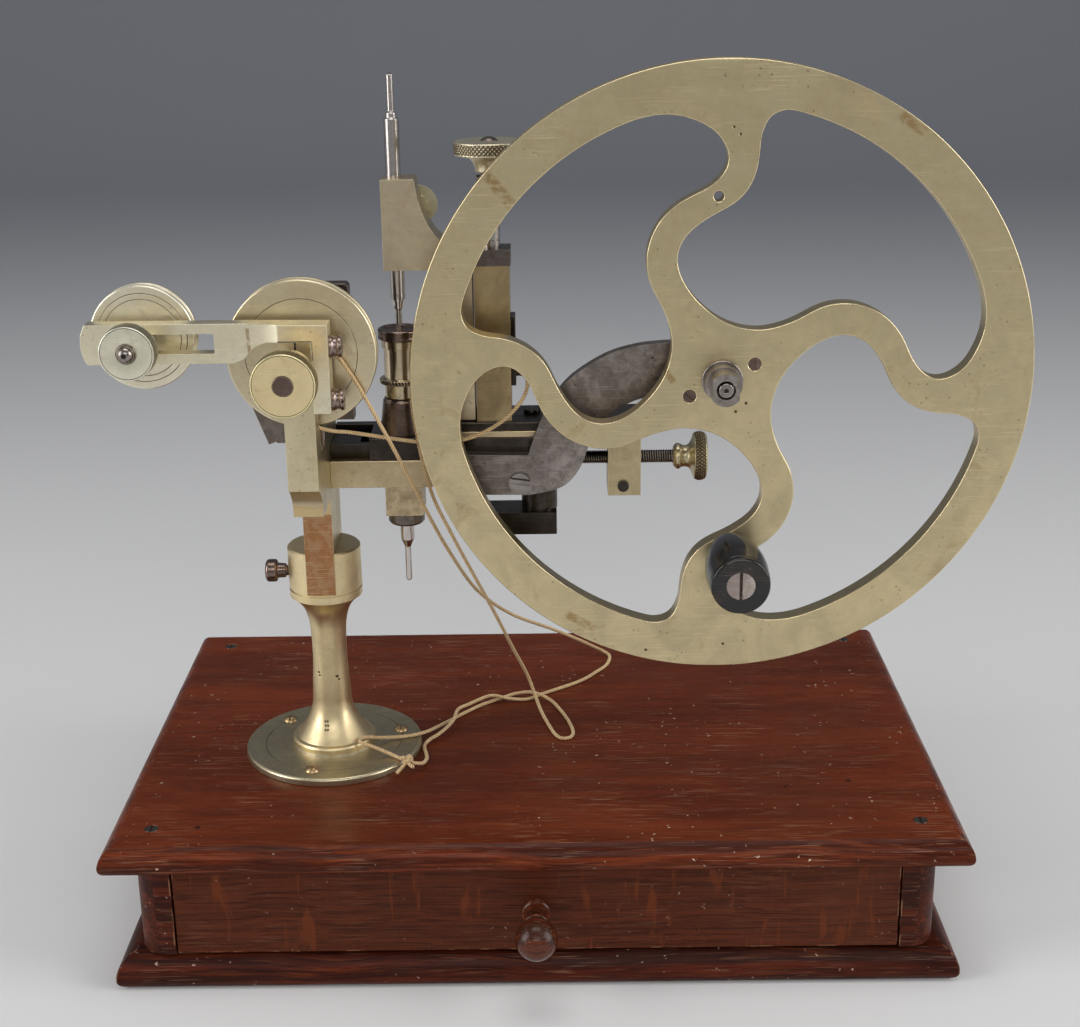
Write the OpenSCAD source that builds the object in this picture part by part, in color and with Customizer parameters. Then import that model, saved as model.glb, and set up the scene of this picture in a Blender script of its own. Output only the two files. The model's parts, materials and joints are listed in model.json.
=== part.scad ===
// Wheel topping tool: a watchmaker's rounding-up tool on a drawer base.
// Millimetres, +Z up, +X to the right, +Y away from the operator.
// The origin is the centre of the underside of the plinth.

/* [Base] */
// Width of the top board
board_w = 300; // [290:1:320]
// Depth of the top board
board_d = 193; // [186:1:205]
// Radius of the lower edge of the top board
board_low_r = 3.5; // [2:0.5:4]
// Radius of the upper edge of the top board
board_top_r = 7; // [5:0.5:8]
// How far the plinth is smaller than the top board on each side
plinth_inset = 2; // [1:0.5:3]
// Radius of the lower edge of the plinth
plinth_low_r = 4; // [3:0.5:5]
// Radius of the upper edge of the plinth
plinth_top_r = 9; // [6:0.5:9]
// Height of the case between plinth and top board
case_h = 33; // [28:0.5:36]
// Thickness of the case walls
wall_t = 6; // [4.5:0.5:8]
// How far the case walls are set back from the faces of the corner posts
wall_inset = 1.5; // [0.5:0.5:3]
// Side of the corner posts
corner_post_w = 13; // [10:0.5:14]
// Outer rounding of the corner posts
corner_post_r = 9.5; // [5:0.5:9.5]
// Distance from the side edge of the top board to the corner posts
side_overhang = 10.5; // [9:0.5:15]
// Distance from the front edge of the top board to the corner posts
front_overhang = 4.5; // [4:0.5:6]
// Head radius of the screws in the top board
board_screw_r = 2.4; // [2:0.1:3]
// Depth of the screw heads in the top board
board_screw_h = 1.4; // [1:0.1:2]
// Distance from the board screws to the side edges
board_screw_in_x = 16; // [14:1:18]
// Distance from the board screws to the front and back edges
board_screw_in_y = 16; // [14:1:18]

/* [Drawer] */
// Thickness of the drawer front
drawer_front_t = 8; // [6:0.5:10]
// Space between the tray and the back wall of the case
tray_back_gap = 16; // [8:1:40]
// Height of the tray
tray_h = 25; // [18:0.5:26]
// Wall thickness of the tray
tray_wall = 5; // [3.5:0.5:6]
// Bottom thickness of the tray
tray_floor = 3; // [2:0.5:4]
// Gap around the drawer in the case
drawer_gap = 0.5; // [0.4:0.1:0.8]
// Gap under the drawer
drawer_lift = 0.3; // [0.2:0.1:0.4]
// Radius of the ball of the drawer knob
drawer_ball_r = 7.3; // [6:0.1:8.5]
// Radius of the foot of the drawer knob
drawer_foot_r = 5; // [4.4:0.1:5.6]
// Radius of the neck of the drawer knob
drawer_neck_r = 3.2; // [2.6:0.1:3.8]
// Distance from the drawer front to the centre of the ball
drawer_ball_out = 19; // [17:0.5:21]

/* [Pillar] */
// Distance from the left edge of the top board to the pillar's axis
pillar_in_x = 73; // [66:1:80]
// Distance from the front edge of the top board to the pillar's axis
pillar_in_y = 78.5; // [72:0.5:84]
// Radius of the pillar's flange
flange_r = 33.3; // [30:0.1:36]
// Thickness of the flange
flange_t = 3; // [2.4:0.1:4]
// Radius of the circle of the flange screws
flange_pcd_r = 26; // [24:0.5:27]
// Head radius of the flange screws
flange_screw_r = 2.8; // [2.4:0.1:3.2]
// Radius of the bell's rim
bell_r = 15.6; // [14.5:0.1:17]
// Radius of the column at its foot
column_r = 7.2; // [6.6:0.1:7.8]
// Radius of the column's waist
waist_r = 6.4; // [5.8:0.1:6.8]
// Height from the flange to the head
column_h = 59.5; // [54:0.5:66]
// Radius of the head
head_r = 13.4; // [13:0.1:14.4]
// Height of the head
head_h = 20; // [18:0.5:23]
// Height of the band under the slot of the head
head_band = 4.5; // [3.5:0.5:5.5]
// Height of the thumbscrew above the floor of the slot
thumb_rise = 5.2; // [4.6:0.1:6.5]
// Radius of the thumbscrew's head
thumb_r = 4.2; // [3.6:0.1:4.6]
// Thickness of the thumbscrew's head
thumb_t = 4.4; // [3.6:0.1:5]
// Distance from the pillar's head to the thumbscrew's head
thumb_out = 4; // [3:0.1:6]
// Radius of the thumbscrew's shank
thumb_shank_r = 1.95; // [1.6:0.05:2.2]

/* [Frame and bed] */
// Width of the brass frame and of its tang
leg_w = 10.4; // [9.6:0.1:11.4]
// Depth of the tang
tang_d = 26; // [24:0.5:26.5]
// Height from the slot floor to the bed
bed_rise = 40; // [38:0.5:42]
// Height of the bed bar
bed_h = 10; // [9.5:0.1:11]
// Length of the bed bar
bed_l = 84; // [82:1:86]
// Depth of the bed bar
bed_d = 22.3; // [21.8:0.1:23]
// Height of the steel way on the bed
way_h = 5.5; // [5:0.1:6]
// Width of the way at its top
way_w = 15; // [14:0.5:16]
// Length of the slot for the lower block
bed_slot_l = 30; // [29:0.5:33]
// Width of the slot for the lower block
bed_slot_w = 8.6; // [8:0.1:9]
// Distance from the runners to the front face of the frame
fork_out = 41; // [40:0.5:43]
// Thickness of the frame's front bar
fork_bar_t = 8.4; // [7.5:0.1:8.8]
// Height of the frame behind the front bar, above the bed's underside
fork_shelf = 27.5; // [26:0.1:27.6]
// Radius of the cove under the front bar
cove_r = 12.7; // [11:0.1:15]
// Height of the frame's underside below the bed's underside
fork_drop = 3; // [2:0.5:5]

/* [Spindle] */
// Height of the spindle above the bed's underside
spindle_rise = 53.4; // [53.3:0.1:55]
// Radius of the spindle's pulley
pulley_r = 25.5; // [22:0.1:25.6]
// Width of both small pulleys
pulley_w = 6; // [5:0.1:6.4]
// Depth of the cord groove in both small pulleys
groove_depth = 2.2; // [1.6:0.1:2.8]
// Width of the cord groove in both small pulleys
groove_w = 3.6; // [2.8:0.1:4.2]
// Radius of the spindle's main journal
journal_r = 3; // [2.6:0.1:3.4]
// Radius of the spindle's front pivot
pivot_r = 1.25; // [1:0.05:1.5]
// Radius of the cutter
cutter_r = 12.5; // [11:0.1:13.5]
// Thickness of the cutter
cutter_t = 1.2; // [0.8:0.1:1.6]
// Number of teeth of the cutter
cutter_teeth = 36; // [24:2:48]
// Width of the bearing plate left of the spindle
bearing_left = 8; // [7:0.1:12]
// Width of the bearing plate right of the spindle
bearing_right = 15.7; // [13:0.1:18]
// Height of the bearing plate
bearing_h = 47.8; // [45:0.1:52]
// Thickness of the bearing plate
bearing_t = 6; // [5:0.1:6.4]
// Radius of the bearing knob
bearing_knob_r = 10.6; // [9:0.1:11.4]
// Thickness of the bearing knob's disc
bearing_knob_t = 5.5; // [4.5:0.1:6.5]
// Radius of the bearing screw in the frame
stud_r = 2.55; // [2.2:0.05:2.8]
// Radius of the bearing screw in its knob
stud_head_r = 3.3; // [3:0.1:3.8]
// Distance from the frame's front to the face of the bearing knob
bearing_knob_out = 31; // [28:0.5:34]

/* [Tension arm] */
// Height of the slotted arm
arm_h = 13.4; // [12.5:0.1:14.5]
// Distance from the spindle to the free end of the arm
arm_reach = 69.5; // [68:0.5:72]
// Depth of the arm's block
arm_block_t = 9; // [8.4:0.1:9.6]
// How far the slotted part is set back from the block's face
arm_step = 3; // [2:0.1:3.5]
// Height of the arm's slot
arm_slot_h = 6.7; // [6.3:0.1:7.2]
// Length of the arm's slot
arm_slot_l = 35; // [34:0.5:37]
// Thickness of the arm's beam over the frame
arm_beam_t = 5.6; // [5:0.1:6.4]
// Width of the arm's right leg
arm_leg_w = 5.7; // [5:0.1:6.4]
// Radius of the heads of the arm's clamp screws
arm_screw_r = 3.8; // [3.2:0.1:4]
// Distance from the spindle to the idler pulley
idler_out = 53; // [51:0.5:54]
// Radius of the idler pulley
idler_r = 17.8; // [15:0.1:18]
// Radius of the idler's nut
idler_nut_r = 9.2; // [8:0.1:10]

/* [Carriage] */
// Distance from the frame to the axis of the runners
runner_out = 31; // [30:0.5:32]
// Distance from the left end of the carriage to the runners
carriage_left = 11.5; // [10.5:0.1:12]
// Length of the carriage's base
carriage_l = 60; // [58:0.5:62]
// Height of the carriage's base above the way
carriage_roof = 2.4; // [2:0.1:3]
// Thickness of the brass strip
strip_t = 2.2; // [1.8:0.1:2.6]
// Thickness of the carriage's top plate
top_plate_t = 3.2; // [2.8:0.1:4]
// Length of the carriage's top plate
top_plate_l = 66; // [64:0.5:68]
// Depth of the carriage's top plate
top_plate_d = 23.7; // [22.5:0.1:25]
// Width of the nut block
nut_block_w = 11.7; // [10.5:0.1:12.5]
// Height of the nut block
nut_block_h = 25; // [24:0.1:27]
// Side of the brass post
post_w = 12.3; // [11.6:0.1:13.4]
// Height of the brass post
post_h = 55.4; // [52:0.1:60]
// Thickness of the cap on the post
post_cap_t = 5.6; // [4.6:0.1:6.4]
// Distance from the runners to the centre of the post
post_out = 33.15; // [32.85:0.05:34.5]

/* [Runners] */
// Radius of the upper runner
upper_r = 2.6; // [2.3:0.05:2.9]
// Length of the upper runner
upper_l = 89.7; // [86:0.1:93]
// Radius of the lower runner
lower_r = 2.5; // [2.2:0.05:2.6]
// Length of the lower runner
lower_l = 92; // [90:0.5:94]
// Radius of the runners' points
point_r = 1.15; // [0.9:0.05:1.4]
// Gap between the points of the two runners
point_gap = 0.8; // [0.6:0.1:1.4]
// Height of the runner arm's block
runner_block_h = 31; // [29:0.5:34]
// Width of the top of the runner arm's block
runner_block_w = 11.3; // [10.6:0.1:12.6]
// Depth of the runner arm
runner_arm_d = 14.5; // [13:0.1:15.5]
// Width of the arm's slide beside the post
arm_slide_w = 5.4; // [4.6:0.1:6]
// Radius of the runner's clamp knob
clamp_knob_r = 6.6; // [5.8:0.1:7.2]
// Radius of the rod under the height knob
height_rod_r = 3.15; // [2.8:0.05:3.4]
// Radius of the height screw's thread
height_thread_r = 2.2; // [1.9:0.05:2.4]
// Length of the rod above the cap
height_rod_l = 36.2; // [34:0.1:40]
// Radius of the height knob
height_knob_r = 12.3; // [11:0.1:13]
// Thickness of the height knob's rim
height_knob_t = 4.8; // [4:0.1:5.6]

/* [Rest] */
// Radius of the foot of the rest's cone
rest_foot_r = 8.2; // [7.8:0.1:8.8]
// Radius of the top of the rest's cone
rest_top_r = 6.8; // [6.4:0.1:7.4]
// Height of the rest's cone
rest_cone_h = 12.8; // [11:0.1:13.4]
// Radius of the rest's sleeve
rest_sleeve_r = 5.9; // [5.5:0.1:6.3]
// Height of the rest's sleeve
rest_sleeve_h = 17.9; // [16:0.1:18.5]
// Radius of the knurled ring
rest_ring_r = 7.7; // [7.2:0.1:8.2]
// Height of the knurled ring above the foot of the sleeve
rest_ring_low = 5; // [4:0.1:6]
// Width of the knurled ring
rest_ring_w = 1.9; // [1.6:0.1:3]
// Radius of the rest's table
rest_table_r = 7.7; // [6.8:0.1:8.2]
// Thickness of the rest's table
rest_table_t = 4; // [3:0.1:5]
// Radius of the threaded stem of the rest
rest_stem_r = 4.2; // [3.9:0.05:4.5]

/* [Feed screw] */
// Radius of the feed screw
feed_r = 2.45; // [2.2:0.05:2.6]
// Radius of the feed screw's bearing end
feed_journal_r = 1.8; // [1.5:0.05:1.9]
// Height of the feed screw above the bed's underside
feed_rise = 7.5; // [7:0.1:7.8]
// Length of the exposed thread
feed_l = 38.5; // [37:0.5:41]
// Radius of the feed knob
feed_knob_r = 9; // [8:0.1:10]
// Thickness of the feed knob's disc
feed_knob_t = 5; // [4:0.1:6]

/* [Hand wheel] */
// Radius of the hand wheel
wheel_r = 105.5; // [103:0.5:107]
// Thickness of the hand wheel
wheel_t = 7; // [6:0.1:7]
// Width of the wheel's rim
rim_w = 13.5; // [12:0.5:14]
// Depth of the cord groove in the rim
rim_groove_depth = 2.6; // [2:0.1:3.2]
// Width of the cord groove in the rim
rim_groove_w = 4.2; // [3.4:0.1:4.6]
// Distance from the frame to the wheel's centre
wheel_out = 142; // [140:0.5:144]
// Height of the wheel's centre above the bed's underside
wheel_rise = 43; // [41:0.5:45]
// Thickness of the steel carrier arm
carrier_t = 5; // [4.2:0.1:5.2]
// Radius of the boss behind the wheel
wheel_boss_r = 16; // [15:0.5:17]
// Radius of the wheel's axle
axle_r = 4; // [3.6:0.1:4.4]
// Radius of the spare hole for the crank
crank_hole_r = 2.3; // [2:0.1:2.5]
// Length of the crank knob
crank_l = 32.4; // [28:0.1:36]
// Largest radius of the crank knob
crank_r = 10.6; // [9.6:0.1:11.4]
// Radius of the slotted screw in the crank knob
crank_screw_r = 4.8; // [4.4:0.1:5.2]

/* [Clearances] */
// Radial clearance of shafts and slides that move
fit_gap = 0.05; // [0.03:0.01:0.08]
// Clearance between pieces that pass each other
pass_gap = 0.3; // [0.25:0.05:0.4]
// Side clearance of the idler's stud in its slot
slot_gap = 0.15; // [0.1:0.01:0.2]

/* [Cord] */
// Diameter of the drive cord
cord_d = 1.4; // [1.2:0.1:1.5]

/* [Hidden] */
$fn = 64;
over = 1;

brass = [0.72, 0.66, 0.48];
gold_brass = [0.82, 0.72, 0.45];
nickel = [0.70, 0.68, 0.60];
bright_steel = [0.70, 0.70, 0.70];
dark_steel = [0.26, 0.24, 0.23];
mahogany = [0.45, 0.16, 0.09];
ebonite = [0.09, 0.08, 0.08];
twine = [0.80, 0.62, 0.38];

// Levels and planes, from the base upwards
board_t = board_low_r + board_top_r;
case_z = plinth_low_r + plinth_top_r;
board_z = case_z + case_h;
deck_z = board_z + board_t;
post_x = board_w / 2 - side_overhang;
post_y = board_d / 2 - front_overhang;
wall_x = post_x - wall_inset;
wall_y = post_y - wall_inset;
drawer_z = case_z + drawer_lift;
drawer_w = 2 * (post_x - corner_post_w - drawer_gap);
drawer_face_y = -post_y + drawer_gap;
drawer_knob_z = case_z + case_h / 2;
axis_x = -board_w / 2 + pillar_in_x;
axis_y = -board_d / 2 + pillar_in_y;
flange_top = deck_z + flange_t;
head_z = flange_top + column_h;
slot_z = head_z + head_band;
head_top = head_z + head_h;
thumb_z = slot_z + thumb_rise;
bed_z = slot_z + bed_rise;
bed_top = bed_z + bed_h;
leg_left = axis_x - leg_w / 2;
leg_right = axis_x + leg_w / 2;
fork_y = axis_y - fork_out;
fork_back = fork_y + fork_bar_t;
fork_top = bed_z + 60.5;
shelf_z = bed_z + fork_shelf;
spindle_z = bed_z + spindle_rise;
bed_front = axis_y - 10.3;
bed_end = leg_right + bed_l;
bed_back = bed_front + bed_d;
wheel_back = bed_front - carrier_t - pass_gap - 6.4;
wheel_front = wheel_back - wheel_t;
belt_y = wheel_back - wheel_t / 2;
pulley_front = belt_y - pulley_w / 2;
pulley_back = belt_y + pulley_w / 2;
bearing_front = axis_y - 18;
bearing_back = bearing_front + bearing_t;
stud_tip = fork_back + pass_gap;
stud_face = fork_y - bearing_knob_out;
arm_front = fork_y - 1;
arm_back = arm_front + arm_block_t;
arm_slot_front = arm_front + arm_step;
arm_z = spindle_z + 6.4;
arm_top = arm_z + arm_h / 2;
idler_x = axis_x - idler_out;
runner_x = leg_right + runner_out - 5.2;
way_top = bed_top + way_h;
carriage_x = runner_x - carriage_left;
carriage_z = bed_top + pass_gap;
carriage_top = way_top + carriage_roof + 0.2;
strip_top = carriage_top + strip_t;
plate_top = strip_top + top_plate_t;
plate_x = runner_x + 19;
plate_end = plate_x + top_plate_l;
carriage_front = bed_front + pass_gap;
carriage_back = carriage_front + 21.7;
post_mid_x = runner_x + post_out;
post_mid_y = axis_y - 2.5;
post_top = plate_top + post_h;
cap_top = post_top + post_cap_t;
arm_block_z = post_top - 1.4;
lug_z = plate_top + 22;
lug_h = 8;
lug_w = 6;
arm_travel = 12;
feed_z = bed_z + feed_rise;
nut_x = bed_end + 15.1;
wheel_x = leg_right - leg_w / 2 + wheel_out;
wheel_z = bed_z + wheel_rise;
crank_x = 4.5;
crank_z = -62.5;
spare_x = -2.2;
spare_z = 61.6;

// Cylinders along an axis, from the first place to the second
module rod_x(r, x0, x1) {
    translate([x0, 0, 0])
        rotate([0, 90, 0])
            cylinder(r = r, h = x1 - x0);
}

module rod_y(r, y0, y1) {
    translate([0, y0, 0])
        rotate([-90, 0, 0])
            cylinder(r = r, h = y1 - y0);
}

module rod_z(r, z0, z1) {
    translate([0, 0, z0])
        cylinder(r = r, h = z1 - z0);
}

// A box between two corners
module box(low, high) {
    translate(low)
        cube(high - low);
}

// A flat outline drawn in X and Z, made solid from y0 to y1
module plate_xz(y0, y1) {
    translate([0, y1, 0])
        rotate([90, 0, 0])
            linear_extrude(height = y1 - y0)
                children();
}

// A flat outline drawn in Y and Z, made solid from x0 to x1
module plate_yz(x0, x1) {
    translate([x0, 0, 0])
        rotate([90, 0, 90])
            linear_extrude(height = x1 - x0)
                children();
}

// A half outline of radius and length, turned about an axis
module turned_x() {
    rotate([0, 90, 0])
        rotate_extrude()
            children();
}

module turned_y() {
    rotate([-90, 0, 0])
        rotate_extrude()
            children();
}

// Points on an arc in degrees
function arc(cx, cy, r, a0, a1, steps) =
    [for (i = [0:steps]) [cx + r * cos(a0 + (a1 - a0) * i / steps), cy + r * sin(a0 + (a1 - a0) * i / steps)]];

// A smooth open curve through points, with n pieces between two of them
function curve_point(a, b, c, d, t) =
    0.5 * (2 * b + (c - a) * t + (2 * a - 5 * b + 4 * c - d) * t * t + (3 * b - a - 3 * c + d) * t * t * t);
function smooth_run(p, n) = concat(
    [for (i = [0:len(p) - 2]) for (k = [0:n - 1])
        curve_point(p[max(i - 1, 0)], p[i], p[i + 1], p[min(i + 2, len(p) - 1)], k / n)],
    [p[len(p) - 1]]);

// Section of a board whose edges are rounded below and above
module nosed_section(w, low_r, top_r) {
    t = low_r + top_r;
    translate([-w / 2 + low_r, 0])
        square([w - 2 * low_r, low_r]);
    translate([-w / 2 + top_r, low_r])
        square([w - 2 * top_r, top_r]);
    for (side = [-1, 1]) {
        intersection() {
            translate([side * (w / 2 - low_r), low_r])
                circle(r = low_r);
            translate([-w / 2, 0])
                square([w, low_r]);
        }
        intersection() {
            translate([side * (w / 2 - top_r), low_r])
                circle(r = top_r);
            translate([-w / 2, low_r])
                square([w, top_r]);
        }
    }
}

module nosed_board(w, d, z, low_r, top_r) {
    translate([0, 0, z])
        intersection() {
            plate_xz(-d / 2, d / 2)
                nosed_section(w, low_r, top_r);
            plate_yz(-w / 2, w / 2)
                nosed_section(d, low_r, top_r);
        }
}

// Base
module plinth() {
    color(mahogany)
        nosed_board(board_w - 2 * plinth_inset, board_d - 2 * plinth_inset, 0, plinth_low_r, plinth_top_r);
}

module corner_post() {
    translate([0, 0, case_z])
        linear_extrude(height = case_h) {
            translate([-corner_post_w, -corner_post_w])
                square([corner_post_w - corner_post_r, corner_post_w]);
            translate([-corner_post_w, -corner_post_w])
                square([corner_post_w, corner_post_w - corner_post_r]);
            intersection() {
                translate([-corner_post_r, -corner_post_r])
                    circle(r = corner_post_r);
                translate([-corner_post_r, -corner_post_r])
                    square(corner_post_r);
            }
        }
}

module case_walls() {
    inner_y = post_y - corner_post_w;
    inner_x = post_x - corner_post_w;
    color(mahogany) {
        for (sx = [-1, 1]) {
            for (sy = [-1, 1])
                scale_place(sx, sy)
                    corner_post();
            box([sx > 0 ? wall_x - wall_t : -wall_x, -inner_y, case_z],
                [sx > 0 ? wall_x : -wall_x + wall_t, inner_y, board_z]);
        }
        box([-inner_x, wall_y - wall_t, case_z], [inner_x, wall_y, board_z]);
    }
}

// A corner post at one of the four corners, with its round outwards
module scale_place(sx, sy) {
    translate([sx * post_x, sy * post_y, 0])
        mirror([sx < 0 ? 1 : 0, 0, 0])
            mirror([0, sy < 0 ? 1 : 0, 0])
                children();
}

module at_board_screws() {
    for (sx = [-1, 1])
        for (sy = [-1, 1])
            translate([sx * (board_w / 2 - board_screw_in_x), sy * (board_d / 2 - board_screw_in_y), 0])
                children();
}

module top_board() {
    color(mahogany)
        difference() {
            nosed_board(board_w, board_d, board_z, board_low_r, board_top_r);
            at_board_screws()
                rod_z(board_screw_r + fit_gap, deck_z - board_screw_h, deck_z + over);
        }
}

module board_screws() {
    color(bright_steel)
        at_board_screws()
            difference() {
                rod_z(board_screw_r, deck_z - board_screw_h, deck_z);
                box([-0.3, -board_screw_r - over, deck_z - 0.6], [0.3, board_screw_r + over, deck_z + over]);
            }
}

// Drawer
module drawer_front() {
    color(mahogany)
        box([-drawer_w / 2, drawer_face_y, drawer_z],
            [drawer_w / 2, drawer_face_y + drawer_front_t, board_z - drawer_gap]);
}

module drawer_tray() {
    y0 = drawer_face_y + drawer_front_t;
    y1 = wall_y - wall_t - tray_back_gap;
    half = drawer_w / 2 - 1;
    color(mahogany)
        difference() {
            box([-half, y0, drawer_z], [half, y1, drawer_z + tray_h]);
            box([-half + tray_wall, y0 + tray_wall, drawer_z + tray_floor],
                [half - tray_wall, y1 - tray_wall, drawer_z + tray_h + over]);
        }
}

module drawer_knob() {
    color(mahogany)
        translate([0, drawer_face_y, drawer_knob_z]) {
            rod_y(drawer_foot_r, -3, 0);
            rod_y(drawer_neck_r, -drawer_ball_out, -2);
            translate([0, -drawer_ball_out, 0])
                sphere(r = drawer_ball_r);
        }
}

// Pillar
module at_flange_screws() {
    for (a = [-102, 18, 138])
        translate([axis_x + flange_pcd_r * cos(a), axis_y + flange_pcd_r * sin(a), 0])
            children();
}

module pillar_flange() {
    color(nickel)
        translate([axis_x, axis_y, deck_z])
            rotate_extrude($fn = 128)
                polygon([[0, 0], [flange_r, 0], [flange_r, flange_t - 0.7], [flange_r - 0.7, flange_t], [0, flange_t]]);
}

module flange_screws() {
    dome = 1.7;
    ball = (flange_screw_r * flange_screw_r + dome * dome) / (2 * dome);
    color(brass)
        at_flange_screws()
            difference() {
                intersection() {
                    translate([0, 0, flange_top + dome - ball])
                        sphere(r = ball);
                    rod_z(flange_screw_r + over, flange_top, flange_top + dome + over);
                }
                box([-0.35, -flange_screw_r - over, flange_top + 0.8],
                    [0.35, flange_screw_r + over, flange_top + dome + over]);
            }
}

// Half outline of the pillar: bell, waisted column, flare and head
function pillar_outline() = concat(
    [[0, 0], [bell_r, 0], [bell_r, 2.6], [bell_r - 0.5, 3.3], [bell_r - 1.4, 3.5]],
    [for (i = [0:10]) [column_r + (bell_r - 1.8 - column_r) * pow(1 - i / 10, 2.2), 3.6 + 16.4 * i / 10]],
    smooth_run([[column_r - 0.2, 24], [waist_r, column_h * 0.6], [waist_r + 0.4, column_h * 0.81],
        [waist_r + 2, column_h * 0.92], [waist_r + 4.2, column_h - 1.5]], 4),
    [[head_r - 1.2, column_h], [head_r, column_h + 0.8], [head_r, column_h + head_band - 1],
        [head_r - 0.4, column_h + head_band - 0.8], [head_r - 0.4, column_h + head_band - 0.4],
        [head_r, column_h + head_band - 0.2], [head_r, column_h + head_h - 0.6],
        [head_r - 0.6, column_h + head_h], [0, column_h + head_h]]);

module pillar() {
    half = leg_w / 2 + fit_gap;
    color(nickel)
        difference() {
            translate([axis_x, axis_y, flange_top])
                rotate_extrude($fn = 96)
                    polygon(pillar_outline());
            box([axis_x - half, axis_y - head_r - over, slot_z],
                [axis_x + half, axis_y + head_r + over, head_top + over]);
            translate([0, axis_y, thumb_z])
                rod_x(thumb_shank_r + fit_gap, axis_x - head_r - over, axis_x);
        }
}

module pillar_thumbscrew() {
    head_x = axis_x - head_r - thumb_out;
    color(bright_steel)
        translate([0, axis_y, thumb_z]) {
            translate([head_x - thumb_t, 0, 0])
                turned_x()
                    polygon([[0, 0], [thumb_r - 0.8, 0], [thumb_r, 0.8], [thumb_r, thumb_t - 0.6],
                        [thumb_r - 0.9, thumb_t], [2.8, thumb_t], [2.6, thumb_t + thumb_out - 1], [0, thumb_t + thumb_out - 1]]);
            rod_x(thumb_shank_r, head_x, leg_left - fit_gap);
        }
}

// Frame: tang, bracket and front bar in one casting
function leg_outline() = concat(
    [[axis_y - tang_d / 2, slot_z], [axis_y - tang_d / 2, bed_z - fork_drop]],
    arc(fork_y - 4.7, bed_z - fork_drop, cove_r, 0, 68, 8),
    [[fork_y, bed_z - fork_drop + cove_r * 0.928], [fork_y, fork_top], [fork_back, fork_top],
        [fork_back, shelf_z], [axis_y + tang_d / 2, shelf_z], [axis_y + tang_d / 2, slot_z]]);

module at_arm_screws() {
    for (z = [spindle_z + 4.6, spindle_z - 13.5])
        translate([0, (fork_y + fork_back) / 2, z])
            children();
}

module frame_leg() {
    color(brass)
        difference() {
            plate_yz(leg_left, leg_right)
                polygon(leg_outline());
            translate([axis_x, 0, spindle_z])
                rod_y(stud_r + fit_gap, fork_y - over, fork_back + over);
            box([axis_x - 0.4, fork_y - over, spindle_z - 9], [axis_x + 0.4, fork_back + over, fork_top + over]);
            at_arm_screws()
                rod_x(1.3 + fit_gap, axis_x - 2.5, leg_right + over);
            translate([pin_x, pin_y, 0])
                rod_z(pin_r + fit_gap, shelf_z - pin_l - over, shelf_z + over);
        }
}

module bed_bar() {
    color(brass)
        difference() {
            box([leg_right, bed_front, bed_z], [bed_end, bed_back, bed_top]);
            box([runner_x - bed_slot_l / 2, axis_y - bed_slot_w / 2, bed_z - over],
                [runner_x + bed_slot_l / 2, axis_y + bed_slot_w / 2, bed_top + over]);
            translate([0, axis_y, feed_z])
                rod_x(feed_journal_r + fit_gap, bed_end - 14, bed_end + over);
        }
}

module way_section(grow) {
    polygon([[axis_y - way_w / 2 + 1 - grow, -over * grow], [axis_y + way_w / 2 - 1 + grow, -over * grow],
        [axis_y + way_w / 2 + grow, way_h + grow], [axis_y - way_w / 2 - grow, way_h + grow]]);
}

module bed_way() {
    color(dark_steel)
        difference() {
            translate([0, 0, bed_top])
                plate_yz(leg_right + 0.1, bed_end - 4)
                    way_section(0);
            box([runner_x - bed_slot_l / 2, axis_y - bed_slot_w / 2, bed_top - over],
                [runner_x + bed_slot_l / 2, axis_y + bed_slot_w / 2, way_top + over]);
        }
}

// Steel rail behind the bed
module bed_rail() {
    color(dark_steel)
        box([leg_right, bed_back, bed_z + 1.5], [bed_end - 0.2, bed_back + 4, bed_top + 7.5]);
}

module bearing_plate() {
    left = axis_x - bearing_left;
    right = axis_x + bearing_right;
    top = shelf_z + bearing_h;
    color(nickel)
        difference() {
            plate_xz(bearing_front, bearing_back)
                polygon([[left, shelf_z], [left, top - 2], [left + 2, top], [right - 1, top], [right, top - 1],
                    [right, shelf_z]]);
            translate([axis_x, 0, spindle_z])
                rod_y(journal_r + fit_gap, bearing_front - over, bearing_back + over);
        }
}

module stop_lever() {
    lever_w = 8.5;
    lever_l = 22;
    color(bright_steel)
        plate_xz(pulley_back + pass_gap, bearing_front) {
            translate([leg_left - lever_w, shelf_z + 4.3])
                rotate(20)
                    square([lever_w, lever_l], center = true);
            translate([leg_left - 6, shelf_z - 7])
                square([6, 4]);
        }
}

// Taper pin let into the side of the frame
pin_r = 0.9;
pin_l = 6.8;
pin_x = leg_right + 0.6;
pin_y = fork_back + 4.6;

// Tension arm: slotted part, cove, beam over the frame and right leg
function arm_outline() = concat(
    arc(axis_x - arm_reach + 12, arm_z, 13.8, 150.8, 209.2, 8),
    [[axis_x - 21, arm_z - arm_h / 2]],
    arc(axis_x - 7, fork_top - 12, 12, 150, 90, 6),
    [[leg_right, fork_top], [leg_right, spindle_z - 17.2], [leg_right + arm_leg_w, spindle_z - 17.2],
        [leg_right + arm_leg_w, fork_top + arm_beam_t], [axis_x - 18, arm_top]]);

module idler_arm() {
    color(brass)
        difference() {
            plate_xz(arm_front, arm_back)
                polygon(arm_outline());
            box([axis_x - arm_reach - 10, arm_front - over, arm_z - arm_h],
                [axis_x - 17.5, arm_slot_front, arm_z + arm_h]);
            translate([axis_x - 17.5, arm_slot_front - 27.5, arm_z - arm_h])
                cylinder(r = 27.5, h = 2 * arm_h, $fn = 128);
            box([idler_x - 9, arm_front - over, arm_z - arm_slot_h / 2],
                [idler_x - 9 + arm_slot_l, arm_back + over, arm_z + arm_slot_h / 2]);
            at_arm_screws()
                rod_x(1.3 + fit_gap, axis_x, leg_right + arm_leg_w + over);
        }
}

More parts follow.
